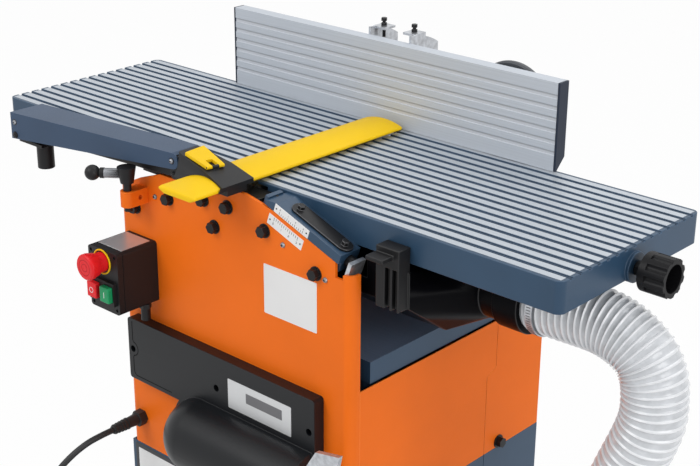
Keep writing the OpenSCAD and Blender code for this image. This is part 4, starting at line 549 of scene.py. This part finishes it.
def screw(name, centre, axis, r, body, mat="steel", slot="bright_steel"):
    """A domed screw with a cross recess, drawn as a thin dark cross: painted shade in the recess."""
    bm = bmesh.new()
    lathe(bm, centre, axis, [(r * across, r * share + more) for across, share, more in SCREW_HEAD])
    right = UP.cross(axis)
    up = axis.cross(right)
    top = centre + axis * (r * CROSS_SHARE + CROSS_UP) * MM
    # The recess is a thin dark cross on the dome: painted shade
    for w, h in ((CROSS_LONG, CROSS_WIDE), (CROSS_WIDE, CROSS_LONG)):
        bar(bm, top, right, up, 0, 0, r * w, r * h, r * CROSS_DEEP, 1)
    trim_piece(name, bm, body, slot, mat, "ink")


PANEL_SCREWS = ((92, -50), (156.6, -73), (-125, -49))
PANEL_SCREW_R = 3.3
for i, (x, z) in enumerate(PANEL_SCREWS):
    screw("panel_screw_%d" % i, at(x, FACE, z), FRONT, PANEL_SCREW_R, "cabinet", "lever")

# Bare plates, in the places of the printed ones: corner, width, height, thickness and corner radius
PLATE_EDGE = 0.2
PLATE_T = 0.4
COVER_Y = -179.0
BASE_Y = front_of("base_stand", -75, -441).y / MM
PLATES = (
    ("panel_plate", (60.5, FACE, -142.5), (83, 61.5, 0.35, 1.2), "white", "zinc"),
    ("cover_plate", (12, COVER_Y, -278), (105.5, 38.8, PLATE_T, 1.2), "silver", "zinc"),
    ("cover_field", (43, COVER_Y - PLATE_T, -261.5), (59.8, 13, 0.2, 0.5), "greyfield", "cover_plastic"),
    ("base_plate", (-189, BASE_Y, -470), (229, 58, PLATE_T, 2.0), "ink", "cover_plastic"),
    ("base_field", (-183, BASE_Y - PLATE_T, -464), (217, 46, 0.2, 1.0), "white", "zinc"),
)


def plate(name, corner, up, size, mat, slot):
    w, h, t, r = size
    bm = bmesh.new()
    sheet(bm, corner, RIGHT, up, outline(w, h, r), t, 0, min(PLATE_EDGE, t / 2))
    trim_piece(name, bm, "cabinet", slot, mat)


for name, corner, size, mat, slot in PLATES:
    plate(name, at(*corner), UP, size, mat, slot)

# Joint line of the front cover: down its left side, round the lug of its screw, and along its foot
LINE_W, LINE_DEEP, LINE_UP = 1.4, 0.3, 0.05
LINE_SECTION = ((-1, -LINE_DEEP), (-1, LINE_UP), (1, LINE_UP), (1, -LINE_DEEP))
LUG_X, LUG_Z = COVER_SCREW_X[0], -260.0
LUG_R, LUG_GAP = 9.5, 12
LUG_FROM, LUG_STEP, LUG_POINTS = 80, 16, 11
FOOT_Z = -297


def line(name, points, wide, body, mat, slot):
    """A thin closed strip along points on a front face."""
    bm = bmesh.new()
    n = len(LINE_SECTION)
    rings = []
    for i, p in enumerate(points):
        way = (points[min(i + 1, len(points) - 1)] - points[max(i - 1, 0)]).normalized()
        aside = way.cross(FRONT) * wide * MM / 2
        rings.append([bm.verts.new(p + aside * k + FRONT * h * MM) for k, h in LINE_SECTION])
    for a, b in zip(rings, rings[1:]):
        for k in range(n):
            j = (k + 1) % n
            bm.faces.new((a[k], a[j], b[j], b[k]))
    bm.faces.new(rings[0])
    bm.faces.new(rings[-1])
    bmesh.ops.recalc_face_normals(bm, faces=bm.faces)
    trim_piece(name, bm, body, slot, mat)


rim = [(LUG_X, z) for z in (-222, -232, -242, LUG_Z + LUG_GAP)]
for k in range(LUG_POINTS):
    a = math.radians(LUG_FROM - LUG_STEP * k)
    rim.append((LUG_X + LUG_R * math.cos(a), LUG_Z + LUG_R * math.sin(a)))
rim += [(LUG_X, z) for z in (LUG_Z - LUG_GAP, -280, -290)]
rim += [(LUG_X + 1, -294.5), (LUG_X + 4.5, FOOT_Z), (-140, FOOT_Z), (-115, FOOT_Z), (-92, FOOT_Z)]
line("cover_line", [at(x, COVER_Y, z) for x, z in rim], LINE_W, "cabinet", "hood", "cover_plastic")

# Scale plates of the infeed table, one on its slide and one on the panel, with shares of their size
SCALE_T, SCALE_EDGE, SCALE_CORNER, PRINT_T = 0.4, 0.15, 0.6, 0.5
TICKS, TICK_W, LONG_EVERY = 13, 0.45, 4
TICK_LONG, TICK_SHORT, TICK_IN = 0.36, 0.26, 0.06
TICK_FROM, TICK_SPAN = 0.16, 0.68
DIGIT_IN, DIGIT_H = 0.34, 0.17
NAIL_IN, NAIL_SEAT = 0.06, 0.2
NAIL = [(1.0, 0), (1.0, 0.5), (0.6, 0.8)]


def scale(name, corner, length, wide, body, ticks_up):
    bm = bmesh.new()
    sheet(bm, corner, DOWN, ACROSS, outline(length, wide, SCALE_CORNER), SCALE_T, 0, SCALE_EDGE)
    for k in range(TICKS):
        share = TICK_FROM + TICK_SPAN * k / (TICKS - 1)
        h = wide * (TICK_LONG if k % LONG_EVERY == 0 else TICK_SHORT)
        y = wide * (1 - TICK_IN) - h / 2 if ticks_up else wide * TICK_IN + h / 2
        bar(bm, corner, DOWN, ACROSS, length * share, y, TICK_W, h, PRINT_T, 1)
    signs = "0123"
    for k, sign in enumerate(signs):
        share = TICK_FROM + TICK_SPAN * k / (len(signs) - 1)
        y = wide * (DIGIT_IN if ticks_up else 1 - DIGIT_IN)
        digit(bm, corner, DOWN, ACROSS, length * share, y, wide * DIGIT_H, PRINT_T, 1, sign)
    for share in (NAIL_IN, 1 - NAIL_IN):
        seat = corner + (DOWN * length * share + ACROSS * wide / 2 + FRONT * NAIL_SEAT) * MM
        lathe(bm, seat, FRONT, NAIL, NAIL_SIDES, 1)
    trim_piece(name, bm, body, "zinc", "white", "ink")


def on_way(s, n):
    """A point on the slide's front, s along the slope and n up from it."""
    return at(WAY_X, FACE, WAY_Z) + (DOWN * s + ACROSS * n) * MM


scale("scale_upper", on_way(-0.3, 0.9), 55, 10.6, "infeed", False)
scale("scale_lower", on_way(-5.0, -18.5), 56, 13.6, "cabinet", True)

# Switch box: plate on its top, yellow ring, marks on the buttons
BOX_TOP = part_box("switch_box")[1][2]
BOX_PLATE_X, BOX_PLATE_Y, BOX_PLATE = -177, -213, (44, 45, 0.35, 1.2)
LID_Y = -225.0
STOP_RING = [(14.2, 0), (16.2, 0), (16.2, 0.9), (15.7, 1.4), (14.7, 1.4), (14.2, 0.9)]
CAP_RINGS, CAP_RING_W, CAP_RING_SINK, CAP_RING_UP = (4.5, 9.5), 0.7, 0.1, 0.08
MARK_T = 0.25
MARK_I_W, MARK_I_H = 0.8, 7.5
MARK_O = [(3.0, 0), (3.7, 0), (3.7, MARK_T), (3.0, MARK_T)]


def front_middle(node):
    """The middle of the front of a node's box."""
    low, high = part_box(node)
    return Vector(((low[0] + high[0]) / 2, low[1], (low[2] + high[2]) / 2))


plate("box_plate", Vector((BOX_PLATE_X * MM, BOX_PLATE_Y * MM, BOX_TOP)), BACK, BOX_PLATE, "silver", "zinc")
cap = front_middle("mushroom_button")
bm = bmesh.new()
lathe(bm, Vector((cap.x, LID_Y * MM, cap.z)), FRONT, STOP_RING, RING_SIDES, ring=True)
trim_piece("stop_ring", bm, "cabinet", "guard_yellow", "yellow")
# Darker red rings in the grooves of the mushroom cap: painted shade
bm = bmesh.new()
for r in CAP_RINGS:
    outer = r + CAP_RING_W
    section = [(r, -CAP_RING_SINK), (outer, -CAP_RING_SINK), (outer, CAP_RING_UP), (r, CAP_RING_UP)]
    lathe(bm, cap, FRONT, section, RING_SIDES, ring=True)
trim_piece("stop_rings", bm, BODY_OF["mushroom_button"], SLOT_OF["mushroom_button"], "red_groove_shade")
for node in ("start_button", "stop_button"):
    bm = bmesh.new()
    if node == "start_button":
        bar(bm, front_middle(node), RIGHT, UP, 0, 0, MARK_I_W, MARK_I_H, MARK_T, 0)
    else:
        lathe(bm, front_middle(node), FRONT, MARK_O, MARK_SIDES, ring=True)
    trim_piece("mark_" + node, bm, BODY_OF[node], SLOT_OF[node], "white")


# Rivets and screws of the guard arm and its holder

def rivet(name, node, x, z, aside, *look):
    """A screw over a bore, on the face beside it."""
    face = front_of(node, x + aside, z)
    screw(name, Vector((x * MM, face.y, at(0, 0, z).z)), FRONT, *look)


rivet("arm_rivet_right", "guard_arm", -71.4, 13.7, -7, 3.0, "arm", "lever")
rivet("arm_rivet_left", "guard_arm", -366, -2, 7, 3.2, "arm", "lever")
rivet("arm_bolt", "guard_arm", -366, -19, 7, 4.6, "arm", "blackened", "black_steel")
rivet("holder_screw", "guard_holder", -71.4, -3.6, 5, 4.0, "holder", "blackened", "black_steel")

# Screws of the rear cover
REAR_SCREW_X, REAR_SCREW_Z, REAR_SCREW_R = (-182, 182), (-20, -200, -375), 3.6
for i, (x, z) in enumerate((x, z) for z in REAR_SCREW_Z for x in REAR_SCREW_X):
    screw("rear_screw_%d" % i, touch("rear_cover", at(x, FAR, z), FRONT), BACK, REAR_SCREW_R, "cabinet")

# Slots in the band of the hose clamp, as grey strips whose darkness is painted shade in the holes, and its
# screw
CLAMP_SLOTS, CLAMP_SLOT_W, CLAMP_SLOT_LEN = 72, 1.1, 5.5
CLAMP_SLOT_SINK, CLAMP_SLOT_T = 0.15, 0.25
CLAMP_HEAD_SHARE, CLAMP_HEAD_DROP, CLAMP_HEAD_FAR = 0.97, 3, 100
CLAMP_HEAD = [(2.6, -1), (2.6, 3.0), (2.2, 3.6), (0.9, 3.6), (0.9, 2.8)]
band_low, band_high = (Vector(v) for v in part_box("hose_clamp"))
band_r = (band_high.y - band_low.y) / 2
band = Vector(((band_low.x + band_high.x) / 2, (band_low.y + band_high.y) / 2, band_low.z + band_r))
bm = bmesh.new()
for k in range(CLAMP_SLOTS):
    a = 2 * math.pi * k / CLAMP_SLOTS
    spoke = Vector((0, math.cos(a), math.sin(a)))
    along = Vector((0, -math.sin(a), math.cos(a)))
    if spoke.z < CLAMP_HEAD_SHARE:
        seat = band + spoke * (band_r - CLAMP_SLOT_SINK * MM)
        bar(bm, seat, along, RIGHT, 0, 0, CLAMP_SLOT_W, CLAMP_SLOT_LEN, CLAMP_SLOT_T, 0)
# The grey of the slots is painted shade in the holes
trim_piece("clamp_slots", bm, "cabinet", SLOT_OF["hose_clamp"], "greyfield")
before = Vector((band.x, band.y - CLAMP_HEAD_FAR * MM, band_high.z - CLAMP_HEAD_DROP * MM))
bm = bmesh.new()
lathe(bm, touch("hose_clamp", before, BACK), FRONT, CLAMP_HEAD, HEX)
trim_piece("clamp_screw", bm, "cabinet", SLOT_OF["hose_clamp"], "steel")

# Ribs of the strain relief
RIBS, RIB_FROM, RIB_STEP, RIB_FAR = 5, 3, 5, 50
RIB_SECTION = ((-0.5, -1.2), (0.9, -1.0), (1.1, 0), (0.9, 1.0), (-0.5, 1.2))
sleeve_low, sleeve_high = (Vector(v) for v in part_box("strain_relief"))
sleeve = (sleeve_low + sleeve_high) / 2
bm = bmesh.new()
for k in range(RIBS):
    middle = Vector((sleeve.x, sleeve_low.y + (RIB_FROM + RIB_STEP * k) * MM, sleeve.z))
    r = (touch("strain_relief", middle + UP * RIB_FAR * MM, -UP).z - sleeve.z) / MM
    lathe(bm, middle, FRONT, [(r + out, h) for out, h in RIB_SECTION], MARK_SIDES, ring=True)
trim_piece("relief_ribs", bm, "cabinet", SLOT_OF["strain_relief"], "rubber")


# Hose and mains cord, on the routes of their CAD solids, in millimetres from the floor

HOSE_ROUTE = [(340, -23, 775), (372, -23, 775), (404, -23, 776), (430, -23, 775), (455, -23, 768),
              (476.5, -23, 753.5), (488, -23, 733.5), (491.5, -23, 711), (491, -23, 686), (483, -23, 657),
              (464, -23, 607), (447, -23, 559), (432, -22, 510), (420, -20, 455), (411, -17, 397),
              (405, -12, 338), (402, -4, 280), (400, 8, 222), (400, 26, 164), (400, 52, 112), (400, 86, 71),
              (400, 126, 47), (400, 169, 38), (400, 212, 37)]
HOSE_R = 35.5
HOSE_SIDES = 40
HOSE_STEP = 2
HOSE_WELD = 1e-5

# Spacing of the helix at distances along the hose, and how far its section lies in from HOSE_R, rib first
HOSE_PITCH = ((0, 8.6), (60, 8.0), (95, 6.4), (165, 6.6), (205, 9.6), (240, 10.8), (1000, 10.8))
HOSE_RIB = (1.6, 0.5, 0.0, 0.5, 1.6, 1.9, 2.05, 2.15, 2.15, 2.15, 2.05, 1.9)
RIB_FACES = 4

CORD_ROUTE = [(-171.5, -213, 492.5), (-172, -232, 492), (-175, -252, 488), (-181, -271, 477),
              (-189, -287, 460), (-198, -299, 437), (-207, -307, 408), (-215, -311, 375), (-222, -312, 335),
              (-228, -310, 290), (-233, -306, 240), (-237, -301, 190), (-241, -295, 140), (-247, -288, 92),
              (-250, -282, 50), (-257, -276, 25), (-267, -271, 11), (-280, -268, 5.5), (-292, -268, 4.5),
              (-304, -268, 4.5)]
CORD_R = 4.0
CORD_STEP = 4
CORD_ROUNDING = 4
COIL = {"x": -304, "y": -214, "r": 54, "turns": 2.5, "step": 8.8, "lift": 4.5, "lead": 72, "lead_points": 6}
COIL_POINTS = 48
CLIMB_TURNS = 0.5
ROUTE_STEPS = 12


def smooth_route(route):
    """A smooth curve through route points, in metres."""
    p = [Vector(q) * MM for q in route]
    last = len(p) - 1
    out = []
    for i in range(last):
        a, b, c, d = (p[max(0, min(last, i + k))] for k in (-1, 0, 1, 2))
        for k in range(ROUTE_STEPS):
            u = k / ROUTE_STEPS
            out.append(0.5 * (2 * b + (c - a) * u + (2 * a - 5 * b + 4 * c - d) * u * u
                              + (3 * b - a - 3 * c + d) * u ** 3))
    return out + [p[last]]


def even(points, step):
    """The same line cut into equal steps, and its length."""
    run = [0.0]
    for a, b in zip(points, points[1:]):
        run.append(run[-1] + (b - a).length)
    n = max(1, round(run[-1] / step))
    out, i = [], 0
    for k in range(n + 1):
        d = run[-1] * k / n
        while i < len(points) - 2 and run[i + 1] < d:
            i += 1
        t = (d - run[i]) / (run[i + 1] - run[i])
        out.append(points[i].lerp(points[i + 1], min(1.0, t)))
    return out, run[-1]


def line_length(points):
    return sum((b - a).length for a, b in zip(points, points[1:]))


def turn_starts(length):
    """Where each turn of the hose's helix starts: close together in the bend, apart below it."""
    starts = [0.0]
    while starts[-1] < length:
        here = starts[-1] / MM
        for (a, low), (b, high) in zip(HOSE_PITCH, HOSE_PITCH[1:]):
            if a <= here < b:
                starts.append(starts[-1] + (low + (high - low) * (here - a) / (b - a)) * MM)
                break
    return starts


def hose_sides(points):
    """Two directions across the hose at each of its points, without a twist between them."""
    last = len(points) - 1
    side = UP
    out = []
    for i in range(last + 1):
        t = (points[min(i + 1, last)] - points[max(i - 1, 0)]).normalized()
        side = (side - t * side.dot(t)).normalized()
        out.append((side, t.cross(side)))
    return out


def hose():
    """A thin wall drawn in between the turns of a white helix; the wall's grey is the clear wall with painted
    shade in its valleys and from inside the hose.
    """
    points, length = even(smooth_route(HOSE_ROUTE), HOSE_STEP * MM)
    last = len(points) - 1
    lie = hose_sides(points)
    starts = turn_starts(length)
    ends = len(starts) - 1
    bm = bmesh.new()
    lines = []
    for j in range((ends + 2) * HOSE_SIDES + 1):
        a = 2 * math.pi * j / HOSE_SIDES
        row = []
        for k, low in enumerate(HOSE_RIB):
            turn = min(max(j / HOSE_SIDES - 1 + k / len(HOSE_RIB), 0), ends)
            whole = min(int(turn), ends - 1)
            d = min(starts[whole] + (starts[whole + 1] - starts[whole]) * (turn - whole), length)
            if d in (0, length):
                low = HOSE_RIB[-1]
            place = d / length * last
            i = min(int(place), last - 1)
            u = place - i
            out = lie[i][0].lerp(lie[i + 1][0], u) * math.cos(a)
            out += lie[i][1].lerp(lie[i + 1][1], u) * math.sin(a)
            middle = points[i].lerp(points[i + 1], u)
            row.append(bm.verts.new(middle + out.normalized() * (HOSE_R - low) * MM))
        lines.append(row)
    for j in range(len(lines) - 1):
        here, there = lines[j], lines[j + 1]
        if j + 1 + HOSE_SIDES < len(lines):
            here, there = here + lines[j + HOSE_SIDES][:1], there + lines[j + 1 + HOSE_SIDES][:1]
        for k in range(len(here) - 1):
            f = bm.faces.new((here[k], there[k], there[k + 1], here[k + 1]))
            # Rib faces take the white helix, the rest the wall's grey with painted shade in the valleys
            f.material_index = 1 if k < RIB_FACES else 0
    bmesh.ops.remove_doubles(bm, verts=bm.verts, dist=HOSE_WELD)
    bmesh.ops.holes_fill(bm, edges=bm.edges, sides=0)
    bmesh.ops.recalc_face_normals(bm, faces=bm.faces)
    return piece("look_dust_hose", bm, "cabinet", "hose_wall", "hose_rib", smooth=60), points, length


hose_obj, hose_points, hose_length = hose()
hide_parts("dust_hose")
tuple(hose_points[0])
[tuple(p) for p in hose_points[::12]]


def coil_points():
    """The stored length: in on the floor, up a layer, and out again, then a lead to the plug."""
    out = []
    turns = COIL["turns"]
    n = int(2 * turns * COIL_POINTS)
    for i in range(n + 1):
        t = 2 * turns * i / n
        r = COIL["r"] - COIL["step"] * (t if t < turns else 2 * turns - t)
        u = min(1, max(0, (t - turns) / CLIMB_TURNS + 0.5))
        z = COIL["lift"] + COIL["step"] * u * u * (3 - 2 * u)
        a = math.radians(270 - 360 * t)
        out.append(Vector((COIL["x"] + r * math.cos(a), COIL["y"] + r * math.sin(a), z)) * MM)
    step = COIL["lead"] / COIL["lead_points"] * MM
    lead = [out[-1] - RIGHT * step * k for k in range(1, COIL["lead_points"] + 1)]
    return out + lead


def cord():
    points = even(smooth_route(CORD_ROUTE), CORD_STEP * MM)[0] + coil_points()[1:]
    curve = bpy.data.curves.new("look_mains_cord", "CURVE")
    curve.dimensions = "3D"
    curve.bevel_depth = CORD_R * MM
    curve.bevel_resolution = CORD_ROUNDING
    curve.use_fill_caps = True
    spline = curve.splines.new("POLY")
    spline.points.add(len(points) - 1)
    for q, p in zip(spline.points, points):
        q.co = (*p, 1)
    spline.use_smooth = True
    obj = link(bpy.data.objects.new("look_mains_cord", curve), "cabinet", "rubber")
    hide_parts("mains_cord", "cord_coil")
    tuple(points[0])
    line_length(points)


cord()


# Studio, in metres: floor, sky, and lamps with their place, aim, size and watts

FLOOR_SIZE = 9
FLOOR_TONE, FLOOR_ROUGH, FLOOR_GLOW = 0.86, 0.9, 0.97
SKY_FILL, SKY_SEEN = 0.42, 1.0
LAMPS = (
    ("key", (-0.9, -2.3, 2.9), (0, 0, 0.8), 1.8, 44),
    ("fill", (2.6, -0.6, 1.6), (0, 0, 0.7), 1.6, 28),
    ("top", (0.2, 1.2, 3.0), (0, 0, 0.8), 2.0, 22),
)


def seen_directly(tree):
    """1 for rays from the camera, in a reflection or through glass, and 0 for the rest."""
    path = tree.nodes.new("ShaderNodeLightPath")
    last = path.outputs["Is Camera Ray"]
    for way in ("Is Glossy Ray", "Is Transmission Ray"):
        either = tree.nodes.new("ShaderNodeMath")
        either.operation = "MAXIMUM"
        tree.links.new(last, either.inputs[0])
        tree.links.new(path.outputs[way], either.inputs[1])
        last = either.outputs[0]
    return last


def white_floor():
    bm = bmesh.new()
    bmesh.ops.create_grid(bm, x_segments=1, y_segments=1, size=FLOOR_SIZE)
    mesh = bpy.data.meshes.new("floor")
    bm.to_mesh(mesh)
    bm.free()
    m, nodes, links, bsdf = new_material("studio white")
    bsdf.inputs["Base Color"].default_value = (FLOOR_TONE, FLOOR_TONE, FLOOR_TONE, 1)
    bsdf.inputs["Roughness"].default_value = FLOOR_ROUGH
    bsdf.inputs["Specular IOR Level"].default_value = 0.0
    glow = nodes.new("ShaderNodeEmission")
    mix = nodes.new("ShaderNodeMixShader")
    part = nodes.new("ShaderNodeMath")
    part.operation = "MULTIPLY"
    part.inputs[1].default_value = FLOOR_GLOW
    links.new(seen_directly(m.node_tree), part.inputs[0])
    links.new(part.outputs[0], mix.inputs["Fac"])
    links.new(bsdf.outputs[0], mix.inputs[1])
    links.new(glow.outputs[0], mix.inputs[2])
    links.new(mix.outputs[0], nodes["Material Output"].inputs["Surface"])
    mesh.materials.append(m)
    floor = bpy.data.objects.new("floor", mesh)
    bpy.context.scene.collection.objects.link(floor)


def white_sky():
    world = bpy.data.worlds.new("studio")
    world.use_nodes = True
    bpy.context.scene.world = world
    tree = world.node_tree
    sky = tree.nodes["Background"]
    sky.inputs["Color"].default_value = (1, 1, 1, 1)
    level = tree.nodes.new("ShaderNodeMapRange")
    level.inputs["To Min"].default_value = SKY_FILL
    level.inputs["To Max"].default_value = SKY_SEEN
    tree.links.new(seen_directly(tree), level.inputs["Value"])
    tree.links.new(level.outputs["Result"], sky.inputs["Strength"])


def lamps():
    for name, place, aim, size, watts in LAMPS:
        lamp = bpy.data.lights.new(name, "AREA")
        lamp.size = size
        lamp.energy = watts
        obj = bpy.data.objects.new(name, lamp)
        obj.location = place
        obj.rotation_euler = (Vector(aim) - Vector(place)).to_track_quat("-Z", "Y").to_euler()
        bpy.context.scene.collection.objects.link(obj)


# The photograph's camera, solved from its straight edges: angles in degrees, place in millimetres
YAW, PITCH, ROLL = 42.295, 22.180, 0.337
FOCAL_PX, WIDTH_PX, SENSOR = 1448.57, 700, 36.0
CAMERA_AT = (1146.4, -1211.6, 570.3)


def camera():
    yaw, pitch, roll = (math.radians(a) for a in (YAW, PITCH, ROLL))
    fw = Vector((-math.sin(yaw) * math.cos(pitch), math.cos(yaw) * math.cos(pitch), -math.sin(pitch)))
    rt = Vector((math.cos(yaw), math.sin(yaw), 0))
    up = rt.cross(fw)
    rt, up = math.cos(roll) * rt + math.sin(roll) * up, math.cos(roll) * up - math.sin(roll) * rt
    lens = bpy.data.cameras.new("camera")
    lens.sensor_fit = "HORIZONTAL"
    lens.sensor_width = SENSOR
    lens.lens = FOCAL_PX / WIDTH_PX * SENSOR
    obj = bpy.data.objects.new("camera", lens)
    place = Matrix((rt, up, -fw)).transposed().to_4x4()
    place.translation = at(*CAMERA_AT)
    obj.matrix_world = place
    bpy.context.scene.collection.objects.link(obj)
    bpy.context.scene.camera = obj


white_floor()
white_sky()
lamps()
camera()
bpy.context.scene.view_settings.view_transform = "Standard"
